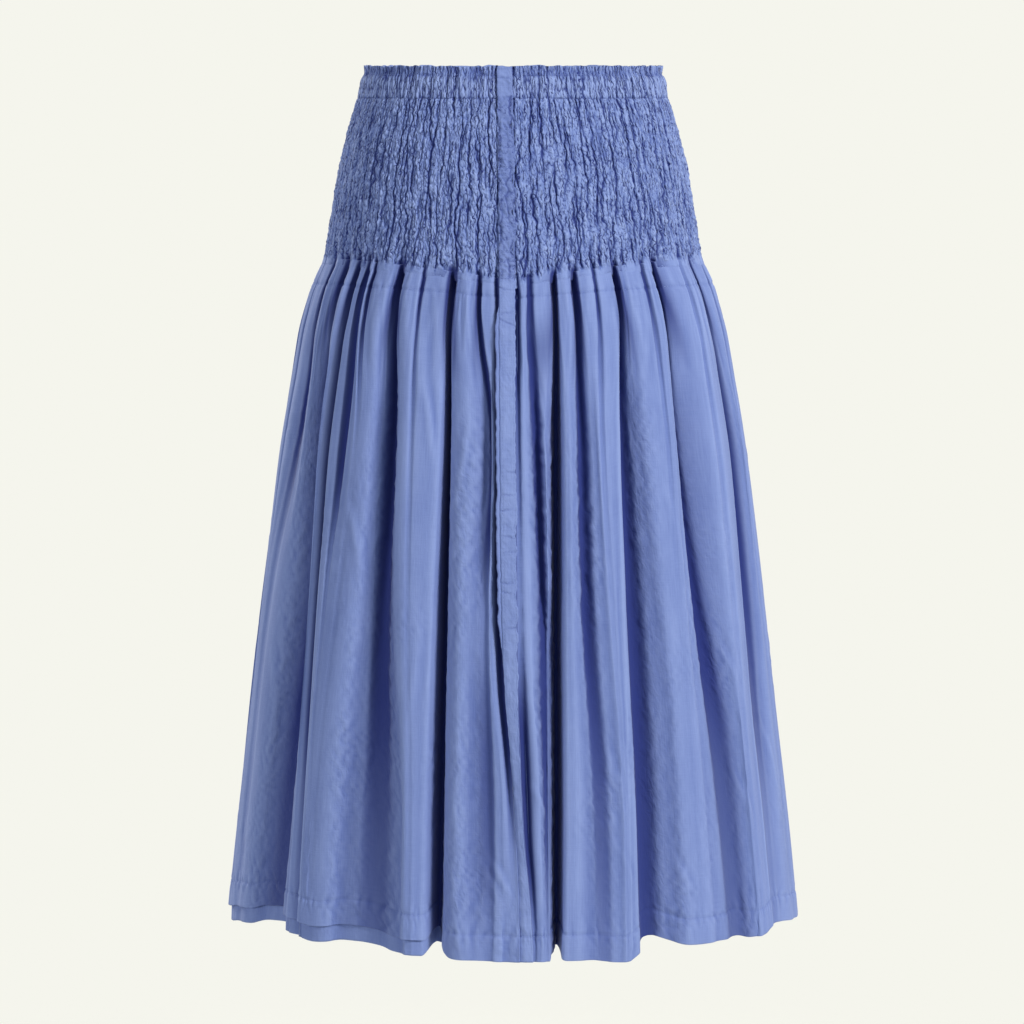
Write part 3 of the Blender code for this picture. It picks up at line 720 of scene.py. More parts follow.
def shell(name, outer, inner, steps, uv, looks, material, solid, slot="cotton"):
    """A closed thin piece of cloth. Of its inner grid it keeps one row and one column in so many."""
    rows, columns = (every(count, step) for count, step in zip(outer.shape, steps))
    picked = np.ix_(rows, columns)
    inner = inner[picked]
    fine = np.arange(outer[..., 0].size).reshape(outer.shape[:2])
    coarse = fine.size + np.arange(inner[..., 0].size).reshape(inner.shape[:2])
    faces = quads(fine) + quads(coarse[:, ::-1])
    smooth_faces = len(faces)
    for first, second in (
        (fine[0], coarse[0]),
        (fine[-1][::-1], coarse[-1][::-1]),
        (fine[::-1, 0], coarse[::-1, 0]),
        (fine[:, -1], coarse[:, -1]),
    ):
        faces += zipped(first.tolist(), second.tolist())
    mesh = bpy.data.meshes.new(name)
    mesh.from_pydata(np.concatenate([outer.reshape(-1, 3), inner.reshape(-1, 3)]), [], faces)
    mesh.polygons.foreach_set("use_smooth", np.arange(len(faces)) < smooth_faces)
    uv = np.stack(np.broadcast_arrays(*uv), axis=-1)
    places = np.concatenate([uv.reshape(-1, 2), uv[picked].reshape(-1, 2)])
    corners = np.empty(len(mesh.loops), np.int32)
    mesh.loops.foreach_get("vertex_index", corners)
    mesh.uv_layers.new(name="cloth").data.foreach_set("uv", places[corners].ravel())
    # The looks are painted highlight and painted shade from the cloth's relief, painted shade in its hollows,
    # and how crumpled it is.
    for label, values in zip(("shade", "hollow_shade", "crumple"), looks):
        every_value = np.concatenate([np.broadcast_to(values, fine.shape).ravel(), np.zeros(coarse.size)])
        mesh.attributes.new(label, "FLOAT", "POINT").data.foreach_set("value", every_value)
    mesh.materials.append(materials[material])
    made = linked(name, mesh)
    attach(made, "root")
    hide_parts(solid)
    return made


def stitches(name, lines):
    """Short raised threads along lines of (points, outward directions, whether each point shows)."""
    parts = []
    for points, outwards, shown in lines:
        length = along_row(points)
        at = np.arange(STITCH_PITCH / 2, length[-1], STITCH_PITCH)
        place = on_line(length, points, at)
        ahead = on_line(length, points, at + 0.1 * MM) - place
        keep = np.interp(at, length, shown.astype(float)) > 0.99
        parts.append([part[keep] for part in (place, ahead, on_line(length, outwards, at))])
    centre, along, out = (np.concatenate(part) for part in zip(*parts))
    along /= np.maximum(np.linalg.norm(along, axis=1, keepdims=True), TINY)
    out /= np.linalg.norm(out, axis=1, keepdims=True)
    side = np.cross(along, out)
    half, thick = STITCH_LENGTH / 2, STITCH_THICKNESS / 2
    corners = [-half * along, thick * side, thick * out, -thick * side, -thick * out, half * along]
    verts = np.stack([centre + corner for corner in corners], axis=1).reshape(-1, 3)
    one = np.array([(0, k, k % 4 + 1) for k in range(1, 5)] + [(5, k % 4 + 1, k) for k in range(1, 5)])
    faces = (one + len(corners) * np.arange(len(centre))[:, None, None]).reshape(-1, 3)
    mesh = bpy.data.meshes.new(name)
    mesh.from_pydata(verts, [], faces.tolist())
    mesh.materials.append(materials["thread"])
    made = linked(name, mesh)
    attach(made, "root")
    return made


# Each width of cloth: how its folds are laid, how finely its lower part, its yoke and its casing are divided,
# and what sets their chances apart.
Width = namedtuple("Width", "controls column row yoke_grid casing_columns seed yoke_seed casing_seed")
WIDTHS = {
    "left": Width(left_controls, FRONT_COLUMN, FRONT_ROW, (165, 401), 305, 100, 400, 500),
    "right": Width(right_controls, FRONT_COLUMN, FRONT_ROW, (165, 401), 305, 200, 430, 520),
    "back": Width(back_controls, BACK_COLUMN, BACK_ROW, (131, 501), 441, 300, 460, 540),
}


# The lower part

# Its ripples: soft ones all over it, and gathers near the yoke. They stand out in millimetres.
SOFT_RIPPLES = (Ripple(1.6, 0.050, 0.26, 0), Ripple(0.30, 0.019, 0.12, 1))
GATHERS = (Ripple(1.2, 0.0085, 0.085, 2), Ripple(0.55, 0.0045, 0.03, 3))

# Which of its rows its width is measured along, as a share of the way down.
MEASURED_ROW = 0.6


def lower_stitches(angle):
    """How far below the yoke the lower line of stitches runs. It comes closer to it under the placket."""
    return LOWER_STITCHES - LOWER_STITCHES_RISE * np.where(np.cos(angle) > 0, front_dip(angle), 0)


# Creases, listed one by one: where their middles lie, how they lean from the upright in degrees, and their
# length, width, rise and bend in millimetres.
Crease = namedtuple("Crease", "angle height lean length width rise bend")
CREASES = [
    Crease(*row)
    for row in (
        (-2.6, -0.700, 30, 50, 3.2, 1.1, 3), (-4.6, -0.704, 26, 44, 3.0, 0.9, 3),
        (-8.2, -0.712, -12, 58, 3.6, 1.3, 7), (-9.6, -0.560, 8, 90, 4.0, 0.9, 3),
        (-5.0, -0.430, -6, 110, 3.6, 0.8, 4), (-12.0, -0.330, -9, 80, 3.0, 1.0, 2),
        (-21.0, -0.300, 9, 90, 3.0, 1.1, 3), (-21.5, -0.520, -4, 130, 4.4, 0.9, 5),
        (-38.0, -0.420, 14, 120, 4.0, 1.0, 6), (-36.5, -0.610, 7, 110, 4.4, 0.8, 4),
        (-66.0, -0.550, 10, 100, 4.0, 1.0, 5), (5.6, -0.270, 14, 70, 2.8, 1.2, 2),
        (8.0, -0.330, 12, 90, 3.0, 1.0, 3), (5.4, -0.632, 24, 44, 2.4, 1.0, 3),
        (7.0, -0.655, 20, 36, 2.4, 0.9, 2), (14.5, -0.470, 5, 120, 4.0, 0.8, 4),
        (20.5, -0.600, 16, 90, 3.6, 0.7, 5), (23.0, -0.690, 22, 60, 3.0, 0.5, 3),
        (33.0, -0.560, 26, 46, 3.0, 1.2, 4), (33.5, -0.640, 30, 42, 2.8, 1.1, 3),
        (36.0, -0.700, 24, 50, 3.2, 1.0, 4), (41.0, -0.400, 10, 120, 4.0, 0.9, 5),
        (56.0, -0.520, 20, 60, 3.0, 1.0, 4), (57.0, -0.640, 18, 70, 3.2, 1.1, 4),
        (73.0, -0.600, 12, 80, 3.6, 0.9, 4), (104.0, -0.420, 12, 110, 4.0, 1.0, 5),
        (112.0, -0.640, 22, 60, 3.4, 1.1, 4), (131.0, -0.330, -8, 90, 3.4, 1.0, 3),
        (139.0, -0.560, 18, 80, 3.6, 1.1, 5), (158.0, -0.690, 30, 50, 3.0, 1.0, 4),
        (172.0, -0.450, -10, 120, 4.2, 0.9, 5), (183.0, -0.620, 26, 60, 3.4, 1.1, 4),
        (204.0, -0.350, 9, 90, 3.4, 1.0, 3), (221.0, -0.560, -20, 70, 3.6, 1.1, 5),
        (238.0, -0.680, -26, 60, 3.2, 1.0, 4), (256.0, -0.450, -12, 110, 4.0, 1.0, 5),
    )
]


def pressed_ridges_and_highlights(angle, share):
    """The thin edges that the cloth was ironed along, from 0 to 1. Each stands out as a ridge and carries a
    painted highlight.
    """
    total = np.zeros_like(angle)
    for fold, across, start, end in PRESSED:
        centre = np.radians(level_value(fold.angles, share))
        metres = speed(centre, ring_height(centre, 0.0, share))
        away = (angle - centre) * metres - across * level_value(fold.mouths, share) * MM / 2
        ends = ease(start, start + 0.08, share) * (1 - ease(end - 0.03, end, share))
        total = total + bump(away, 0, PRESSED_WIDTH) * ends
    return total


def hand_creases(angle, height):
    """The ridges of the listed creases, each with a trough on its right."""
    total = np.zeros_like(angle)
    for crease in CREASES:
        middle = math.radians(crease.angle)
        turned = middle + half_turned(angle - middle)
        right = (turned - middle) * float(speed(middle, crease.height))
        down = crease.height - height
        lean = math.radians(crease.lean)
        along = (down * math.cos(lean) + right * math.sin(lean)) / (crease.length * MM / 2)
        across = right * math.cos(lean) - down * math.sin(lean) + crease.bend * MM * along**2
        taper = np.clip(1 - along**2, 0, 1) ** 1.5
        width = crease.width * MM
        ridge = bump(across, 0, width) - 0.7 * bump(across, 1.7 * width, 1.2 * width)
        total = total + crease.rise * MM * taper * ridge
    return total


def crumpling(u, v, loose, seed):
    """Where the cloth is crumpled, from 0 to 1: on its loose slopes, and in a few patches."""
    patches = 0.40 * ease(0.0, 0.6, noise(u / 0.045, v / 0.10, seed))
    return np.clip(loose + patches, 0, 1) * ease(0.04, 0.16, v)


def skirt_relief(u, v, depth, crumple, angle, seed):
    """How far the cloth's soft ripples, creases and puckers stand out of its folds."""
    open_cloth = 1 - 0.8 * ease(6 * MM, 13 * MM, depth)
    near_yoke = 1 - ease(0.02, 0.17, v)
    flat = 1 - 0.8 * bump(v, 0, 0.010)
    ripples = rippled(SOFT_RIPPLES, u, v, seed) + near_yoke * rippled(GATHERS, u, v, seed)
    coarse = puckered((u + 0.6 * v) / 0.014, v / 0.017, seed + 4)
    fine = puckered((u - 0.5 * v) / 0.0080, v / 0.0120, seed + 5)
    puckers = np.zeros_like(v + u)
    for line, pull in ((UPPER_STITCHES, 0.3), (lower_stitches(angle), 0.6)):
        puckers = puckers + bump(v, line, 5 * MM) * 1.5 * pull * puckered(u / 0.0060, v / 0.012, seed + 6)
        puckers = puckers - bump(v, line, 1.2 * MM) * pull
    return MM * (ripples * open_cloth * flat + crumple * (2.0 * coarse + 1.2 * fine) + puckers * open_cloth)


def hem_relief(u, up, seed):
    """The turned hem, up from its edge: a double thickness under a line of puckering stitches."""
    turned = 0.55 * (1 - ease(HEM_LINE - 1.2 * MM, HEM_LINE + 0.6 * MM, up))
    groove = -0.75 * bump(up, HEM_LINE, 1.1 * MM)
    pucker = bump(up, HEM_LINE, 9 * MM) * 1.4 * puckered(u / 0.0075, up / 0.018, seed)
    ripple = 0.25 * (1 - ease(0.01, 0.05, up)) * noise(u / 0.016, up / 0.05, seed + 1)
    return MM * (turned + groove + pucker + ripple)


def stitch_shadow(u, v, angle, seed):
    """How dark the cloth is along its rows of stitches, from 0 to 1."""
    broken = 0.6 + 0.4 * noise(u / 0.004, v / 0.004, seed)
    lines = bump(v, lower_stitches(angle), 0.9 * MM) + bump(SKIRT_LENGTH - v, HEM_LINE, 0.9 * MM)
    return lines * broken


def at_depth_down(grid, places, target):
    """The point of each column at its target distance down, between the rows that lie at those places."""
    row = np.clip(np.searchsorted(places, target) - 1, 0, len(places) - 2)
    t = ((target - places[row]) / (places[row + 1] - places[row]))[:, None]
    column = np.arange(grid.shape[1])
    return grid[row, column] * (1 - t) + grid[row + 1, column] * t


def lowest_near(values, rows, columns):
    """The lowest value within so many rows and columns of each point of a grid."""
    lowest = values
    for axis, reach in ((0, rows), (1, columns)):
        moved = [np.roll(lowest, shift, axis) for shift in range(-reach, reach + 1)]
        lowest = np.minimum.reduce(moved)
    return lowest


def crease_shade_edge_highlight(grid):
    """How much each point stands out of the cloth round it, from -1 in a crease to 1 on an edge. It sets
    painted shade in creases and a painted highlight on edges.
    """
    around = np.copy(grid)
    around[:, 2:-2] = (grid[:, :-4] + grid[:, 4:]) / 2
    return np.einsum("rck,rck->rc", grid - around, normals(grid))


def shade_beside_opening(side, u, v):
    """How much painted shade a front gets where it passes under the placket, from 0 to 1."""
    if side == "left":
        return 0.95 * bump(u[:, -1:] - u, 0, 4.0 * MM) * (1 - ease(0.42, 0.50, v))
    if side == "right":
        return bump(u, 0, 4.0 * MM) * level_value((0.95, 0.40, 0.40, 0.95, 0.45), v / SKIRT_LENGTH)
    return 0.0


def lower_lines(outer, depth, angle, places):
    """The rows of stitches of the lower part, which show where its cloth is open."""
    out = normals(outer)
    level = 0 * angle
    lines = []
    for line in (level + UPPER_STITCHES, lower_stitches(angle), level + (SKIRT_LENGTH - HEM_LINE)):
        shown = at_depth_down(depth[..., None], places, line)[:, 0] < 4 * MM
        lift = at_depth_down(out, places, line)
        lines.append((at_depth_down(outer, places, line) + lift * 0.15 * MM, lift, shown))
    return lines


def lower_panel(name, side, solid):
    """One width of the lower part, with its stitches. Returns the angles and depths of its top rows too."""
    width = WIDTHS[side]
    seed = width.seed
    places = row_places(width.row)
    grid = spline(width.controls(places / SKIRT_LENGTH), width.column)
    points, depth, gloom, loose = grid[..., :3], *np.moveaxis(grid[..., 3:], -1, 0)
    u, v = along_row(points[int(MEASURED_ROW * len(places))])[None], places[:, None]
    angle = angle_of(points)
    crumple = crumpling(u, v, loose, seed + 7)
    ridge_and_highlight = pressed_ridges_and_highlights(angle, v / SKIRT_LENGTH)
    relief = skirt_relief(u, v, depth, crumple, angle[0], seed) + hem_relief(u, SKIRT_LENGTH - v, seed + 20)
    relief = relief + hand_creases(angle, points[..., 2]) * (1 - ease(5 * MM, 10 * MM, depth))
    relief = relief + 0.4 * MM * ridge_and_highlight
    outwards = normals(points)
    outer = points + outwards * relief[..., None]
    outer[-1, :, 2] += 0.4 * MM * uneven(u[0] / 0.030, seed + 30)
    inner = points + outwards * (lowest_near(relief, 3, 2) - CLOTH)[..., None]
    # Painted highlight on the cloth's edges and painted shade in its creases, with painted shadow along the
    # stitches.
    shade = np.clip(crease_shade_edge_highlight(outer) / (0.7 * MM), -1, 1) - 0.9 * stitch_shadow(u, v, angle[0], seed + 31)
    # Painted shade deep in the folds, in the slits between them below the yoke, and where the fronts pass
    # under the placket.
    slit_shade = 0.95 * ease(2.2 * MM, 5 * MM, depth) * (1 - ease(0.02, 0.12, v))
    hollow_shade = np.maximum(np.maximum(gloom, slit_shade), shade_beside_opening(side, u, v))
    # The pressed edges also get a painted highlight.
    looks = (shade + 0.9 * ridge_and_highlight, hollow_shade, crumple)
    made = shell(name, outer, inner, (3, 2), (u, v), looks, "cotton", solid)
    thread = stitches(f"{name}_stitches", lower_lines(outer, depth, angle[0], places))
    top = places < TOP_ROWS
    return made, thread, (angle[top], form_depth(outer[top]), places[top])


# The smocked yoke

PEBBLE_WIDTH = 4.0 * MM
PEBBLE_HEIGHT = 8.0 * MM
GROOVE_PITCH = 9.4 * MM
SIDE_GROOVE_PITCH = 6.7 * MM
YOKE_INNER_DEPTH = 3.2 * MM
YOKE_OVER = 8.0 * MM
YOKE_PROUD = 0.2 * MM
RAGGED_EDGE = (Ripple(3.0 * MM, 0.0045, 1, 12), Ripple(2.0 * MM, 0.020, 1, 13))


def ribs(along, pitch):
    """Rounded ribs with sharp grooves between them, from 0 in a groove to 1 on a rib."""
    return np.abs(np.cos(math.pi * along / pitch)) ** 0.75


def wandering_grooves(u, down, pitch, wander, seed):
    """Upright grooves a pitch apart that wander and come and go, from 0 to 1 in a groove."""
    drift = wander * noise(u / 0.030, down / 0.045, seed)
    drift = drift + 0.4 * wander * noise(u / 0.009, down / 0.0075, seed + 1)
    phase = (u + drift) / pitch
    away = np.abs(phase - np.round(phase)) * pitch
    strength = ease(-0.45, 0.40, noise(np.round(phase) * 0.71, down / 0.045, seed + 2))
    return (0.15 + 0.85 * strength) * bump(away, 0, 0.9 * MM)


def long_grooves(u, down, seed):
    """The deep grooves that run from the waist to the hips: main ones, and others that branch from them."""
    main = wandering_grooves(u, down, GROOVE_PITCH, 3.6 * MM, seed + 40)
    return np.maximum(main, 0.75 * wandering_grooves(u, down, SIDE_GROOVE_PITCH, 5.0 * MM, seed + 44))


def smock_relief(u, down, seed):
    """The crinkles of the smocked cloth: how far they stand out in metres, and how much painted shade falls in
    their cracks and grooves.
    """
    warp = 1.5 * MM * noise(u / 0.0055, down / 0.0045, seed + 1)
    pebbles = creased((u + warp) / PEBBLE_WIDTH, (down + warp) / PEBBLE_HEIGHT, seed + 2)
    across, along = (u - 0.6 * warp) / (1.5 * PEBBLE_WIDTH), (down + 0.5 * u) / (0.75 * PEBBLE_HEIGHT)
    crinkle = np.minimum(pebbles, 0.10 + 0.95 * creased(across, along, seed + 3))
    grooves = long_grooves(u, down, seed)
    swell = noise(u / 0.011, down / 0.018, seed + 9)
    dark = np.maximum(1 - ease(0.015, 0.12, crinkle), ease(0.25, 0.70, grooves))
    return MM * (2.1 * crinkle - 2.4 * grooves + 0.5 * swell - 0.6), dark


def panel_span(side, height):
    """The angles between which a yoke or casing panel lies. The fronts pass under the placket's edges."""
    left_edge = placket_line(height, 0.0, 0.0)[..., 0] + UNDER_THE_BAND
    right_edge = placket_line(height, 1.0, 0.0)[..., 0] - UNDER_THE_BAND
    wide = half_width(height)
    return {
        "left": (-SIDE_SEAM, np.arcsin(left_edge / wide)),
        "right": (np.arcsin(right_edge / wide), SIDE_SEAM),
        "back": (SIDE_SEAM, 3 * SIDE_SEAM),
    }[side]


def spread(side, height, count):
    """Angles and places across a panel of the yoke or the casing, for a column of heights."""
    quarter = {"left": (-SIDE_SEAM, 0.0), "right": (0.0, SIDE_SEAM), "back": (SIDE_SEAM, 3 * SIDE_SEAM)}[side]
    angles, places = even_angles(*quarter, count)
    share = (angles - angles[0]) / (angles[-1] - angles[0])
    start, end = (limit + 0 * height for limit in panel_span(side, height))
    return start[:, None] + share[None] * (end - start)[:, None], places


def from_band(side, places):
    """How far each column of a panel lies from where it starts under the placket."""
    if side == "back":
        return np.full_like(places, 1.0)
    return places[-1] - places if side == "left" else places


def beside_band(side, places):
    """1 over most of a panel, falling to 0 where it passes under the placket."""
    return ease(0.2 * MM, 1.4 * MM, from_band(side, places))[None]


def band_groove(side, places):
    """The groove along the placket, from 0 to 1."""
    return bump(from_band(side, places), 2.1 * MM, 1.1 * MM)[None]


def laid_over(top_rows, side, angle, below):
    """The depths of the lower part's surface, at these angles and distances below the yoke's edge."""
    angles, depths, places = top_rows
    if side == "back":
        angles = np.unwrap(angles, axis=1)
    lines = []
    for row_angles, row_depths in zip(angles, depths):
        order = np.argsort(row_angles)
        lines.append(np.interp(angle, row_angles[order], row_depths[order]))
    lines = np.stack(lines)
    row = np.clip(np.searchsorted(places, below, side="right") - 1, 0, len(places) - 2)
    share = np.clip((below - places[row]) / (places[row + 1] - places[row]), 0, 1)
    first, second = (np.take_along_axis(lines, row[None] + k, axis=0)[0] for k in (0, 1))
    return first + (second - first) * share


def yoke_panel(name, side, top_rows, solid):
    """One panel of the yoke. Its top lies under the casing, and its crinkles fade on the cloth below it."""
    rows, columns = WIDTHS[side].yoke_grid
    seed = WIDTHS[side].yoke_seed
    share = np.linspace(0, 1, rows)
    top = CASING_EDGE + CASING_LAP
    angle, places = spread(side, top + share * (YOKE_EDGE_SIDE - top), columns)
    down, u = share[:, None], places[None]
    over = YOKE_OVER * (1 + 0.2 * uneven(u / 0.006, seed + 15))
    height = waist_height(top, angle) * (1 - down) + (yoke_edge(angle) - over) * down
    v = (top - YOKE_EDGE_SIDE) * down - top
    up = height - yoke_edge(angle)
    under = laid_over(top_rows, side, angle, np.maximum(-up, 0)) * np.exp(-np.maximum(up, 0) / 0.012)
    ragged = up + rippled(RAGGED_EDGE, u, MID_CELL, seed)
    fading = ease(-4.0 * MM, 3.5 * MM, ragged)
    calm = fading * beside_band(side, places)
    smock, dark = smock_relief(u, v, seed)
    by_band = band_groove(side, places) * (0.65 + 0.5 * uneven(v / 0.013, seed + 16)) * fading
    relief = np.maximum(smock * calm, -2.4 * MM * ease(-0.3 * MM, 1.5 * MM, up)) - 1.3 * MM * by_band
    tuck = 1.6 * MM * (1 - ease(0, 3.2 * MM, v + top)) + 1.2 * MM * ease(over - 3.0 * MM, over, -up)
    outer = form_point(angle, height, under - YOKE_PROUD - relief + tuck)
    inner = form_point(angle, height, YOKE_INNER_DEPTH + under)
    # Painted highlight on the crinkles' tops and painted shade in their cracks, their grooves, the groove by
    # the placket and the slits below. The cracks also scale the fine painted cracks of the material.
    shade = np.clip(calm * (smock + 0.2 * MM) / (0.9 * MM), -1, 1)
    shade = shade + np.clip(crease_shade_edge_highlight(outer) / MM, -1, 1) * (1 - calm)
    slit_shade = 0.95 * ease(2.2 * MM, 5.0 * MM, under) * ease(-9 * MM, -1 * MM, -up)
    dark = dark * calm * ease(-1.0 * MM, 4.0 * MM, ragged)
    hollow_shade = np.clip(0.95 * dark + 0.6 * by_band + slit_shade, 0, 0.95)
    cracks = calm * ease(-2.0 * MM, 3.0 * MM, ragged)
    return shell(name, outer, inner, (8, 8), (u, v), (shade, hollow_shade, cracks), "smocked", solid)


# The waist casing and its ruffled header

GATHER_PITCH = 5.2 * MM
RUFFLE_PITCH = 4.1 * MM
CASING_LAP = 2.8 * MM
CASING_ROWS = 36
CASING_DRIFT = (Ripple(1.5 * MM, 0.012, 0.014, 0), Ripple(0.6 * MM, 0.005, 0.005, 1))


def casing_bulge(height):
    """How round the casing stands over its elastic, from 0 at its two edges to 1 half way."""
    return np.sin(math.pi * np.clip((height - CASING_EDGE) / (HEADER_LINE - CASING_EDGE), 0, 1))


def casing_relief(u, height, seed, yoke_seed):
    """The gathers over the elastic and the ruffles above it: how far they stand out, and how much painted
    shade falls in their creases, grooves and edges.
    """
    bulge = casing_bulge(height) ** 0.8
    header = ease(HEADER_LINE, TOP_EDGE, height)
    drift = rippled(CASING_DRIFT, u, height, seed)
    wide = ribs(u + drift, GATHER_PITCH) * (0.75 + 0.5 * noise(u / 0.013, height / 0.03, seed + 2))
    narrow = creased((u + drift) / 0.0034, height / 0.016, seed + 3)
    edge = bump(height, CASING_EDGE, 1.5 * MM) * (0.6 + 0.6 * uneven(u / 0.006, seed + 6))
    deep = long_grooves(u, -height, yoke_seed)
    pinched = bump(height, HEADER_LINE, 1.2 * MM) * ease(-0.2, 0.8, uneven(u / 0.010, seed + 5))
    waves = 0.8 * noise(u / 0.007, height / 0.01, seed + 4)
    ruffle = header * (0.9 * ribs(u + 2 * drift, RUFFLE_PITCH) + waves - 0.2)
    gathers = 1.1 * wide + 1.3 * narrow - 1.6 * deep
    dark = np.maximum(0.9 * (1 - ease(0.03, 0.30, narrow)) * (1 - 0.4 * header), ease(0.3, 0.9, deep))
    dark = np.maximum(dark, np.maximum(0.95 * edge, 0.60 * pinched))
    raised = 1.2 * bulge + gathers * (0.85 + 0.15 * bulge) + ruffle
    return MM * (raised - 0.9 * pinched - 1.5 * edge - 1.3), dark


def casing_panel(name, side, solid):
    """One panel of the casing with its header. Its lower edge sinks into the crinkles of the yoke."""
    width = WIDTHS[side]
    seed = width.casing_seed
    heights = np.linspace(TOP_EDGE, CASING_EDGE - CASING_LAP, CASING_ROWS)
    angle, places = spread(side, heights, width.casing_columns)
    u = places[None]
    flat_height = heights[:, None] + 0 * u
    ragged = ease(HEADER_LINE, TOP_EDGE, flat_height) * 1.1 * MM * uneven(u / 0.008, seed + 9)
    height = waist_height(flat_height, angle) + ragged
    relief, dark = casing_relief(u, flat_height, seed, width.yoke_seed)
    calm, by_band = beside_band(side, places), band_groove(side, places)
    sunk = CASING_EDGE + 0.6 * MM + 1.8 * MM * uneven(u / 0.007, seed + 8)
    sink = 2.4 * MM * (1 - ease(CASING_EDGE - CASING_LAP, sunk, flat_height))
    groove = 1.1 * MM * by_band
    outer = form_point(angle, height, sink + groove - relief * calm)
    thick = 1.5 * MM + 1.0 * MM * casing_bulge(flat_height)
    inner = form_point(angle, height, thick + sink + groove - 0.6 * relief)
    # Painted highlight on the raised gathers and painted shade in their creases and in the groove by the
    # placket.
    shade = np.clip(calm * (relief + 0.1 * MM) / (0.9 * MM), -1, 1)
    hollow_shade = np.clip(0.95 * calm * dark + 0.55 * by_band, 0, 0.95)
    made = shell(name, outer, inner, (3, 4), (u, -flat_height), (shade, hollow_shade, calm), "gathered", solid)
    out = normals(outer)
    rows = [int(np.argmin(np.abs(heights - line))) for line in (HEADER_LINE, CASING_EDGE + MM)]
    lines = [(outer[row], out[row], calm[0] > 0.9) for row in rows]
    return made, stitches(f"{name}_stitches", lines)


# The placket

# Where puckers cross the band. The first ones lie over the casing, and the rest are stitched.
BARS = (
    *(0.0040, -0.0132, -0.0578, -0.0684, -0.0766, -0.1256, -0.1387, -0.1513, -0.1647, -0.1742),
    *(-0.1841, -0.2051, -0.3446, -0.3648, -0.3779, -0.4015, -0.4146, -0.4419, -0.4507, -0.4821),
)
CASING_BARS = 2
SLANTED_BAR = (-0.2105, -0.2170)
BAR_LEAN = 2.2 * MM
BAND_SEAMS = (0.13, 0.87)
BAND_SEAMS_END = -0.50
BUTTON_MARK = (0.60, -0.7405)
BUTTON_RADIUS = 6.2 * MM
BAND_COLUMNS = 17
BAND_ROW = 0.85 * MM
BAND_FINE_TO = -0.53
BAND_LOWER_ROWS = 175

# How its free edge and its sewn edge waver, in widths of the band.
FREE_WAVER = (Ripple(0.12, 0.012, 1, 75), Ripple(0.07, 0.004, 1, 76))
SEWN_WAVER = (Ripple(0.08, 0.009, 1, 77), Ripple(0.04, 0.0035, 1, 78))

# Across the thin second edge beside the band, up to the band itself. Behind is in millimetres.
Across = namedtuple("Across", "across behind")
LIP = (
    Across(-0.28, 2.2),
    Across(-0.27, 1.1),
    Across(-0.22, 0.5),
    Across(-0.14, 0.4),
    Across(-0.08, 0.9),
    Across(-0.03, 1.4),
)
LIP_UNDER = 0.03


def bars_across(a, z):
    """Where puckers cross the band, each over a part of it, from 0 to 1."""
    bars = 0.0
    for i, bar in enumerate(BARS):
        leaning = bar + BAR_LEAN * math.sin(2.4 * i) * (a - 0.5)
        leaning = leaning + 0.8 * MM * noise(a * PLACKET_WIDTH / 0.004, bar / 0.003, 73)
        shown = bump(a, 0.5 + 0.35 * math.sin(1.7 * i), 0.45)
        bars = bars + shown * bump(z, leaning, 0.9 * MM)
    slant = SLANTED_BAR[0] + (SLANTED_BAR[1] - SLANTED_BAR[0]) * a
    return bars + bump(z, slant, 0.8 * MM)


def button_mark(a, z):
    """The slight bulge of a flat fastener inside the band, in millimetres."""
    away = np.hypot((a - BUTTON_MARK[0]) * PLACKET_WIDTH, z - BUTTON_MARK[1])
    inside = 1 - ease(0.6 * BUTTON_RADIUS, 1.1 * BUTTON_RADIUS, away)
    return 0.45 * inside + 0.45 * bump(away, BUTTON_RADIUS, 0.8 * MM)


def band_waver(a, v, over_yoke, joined):
    """How far the band's two edges waver."""
    loose = 0.7 + 0.9 * over_yoke
    free = ease(0.5, 1.0, a) * rippled(FREE_WAVER, v, MID_CELL, 0) * (loose - 0.8 * joined)
    return free + (1 - ease(-0.3, 0.3, a)) * rippled(SEWN_WAVER, v, MID_CELL, 0) * loose


def band_lines(outer, height):
    """The band's stitches: a row inside each edge as far as it shows, and one along each lower bar."""
    out = normals(outer)
    raised = outer + out * 0.1 * MM
    lines = []
    for seam in BAND_SEAMS:
        column = len(LIP) + int(round(seam * (BAND_COLUMNS - 1)))
        lines.append((raised[:, column], out[:, column], height > BAND_SEAMS_END))
    for bar in BARS[CASING_BARS:]:
        line = (int(np.argmin(np.abs(height - bar))), slice(len(LIP) + 1, None))
        lines.append((raised[line], out[line], np.full(BAND_COLUMNS - 1, True)))
    return lines


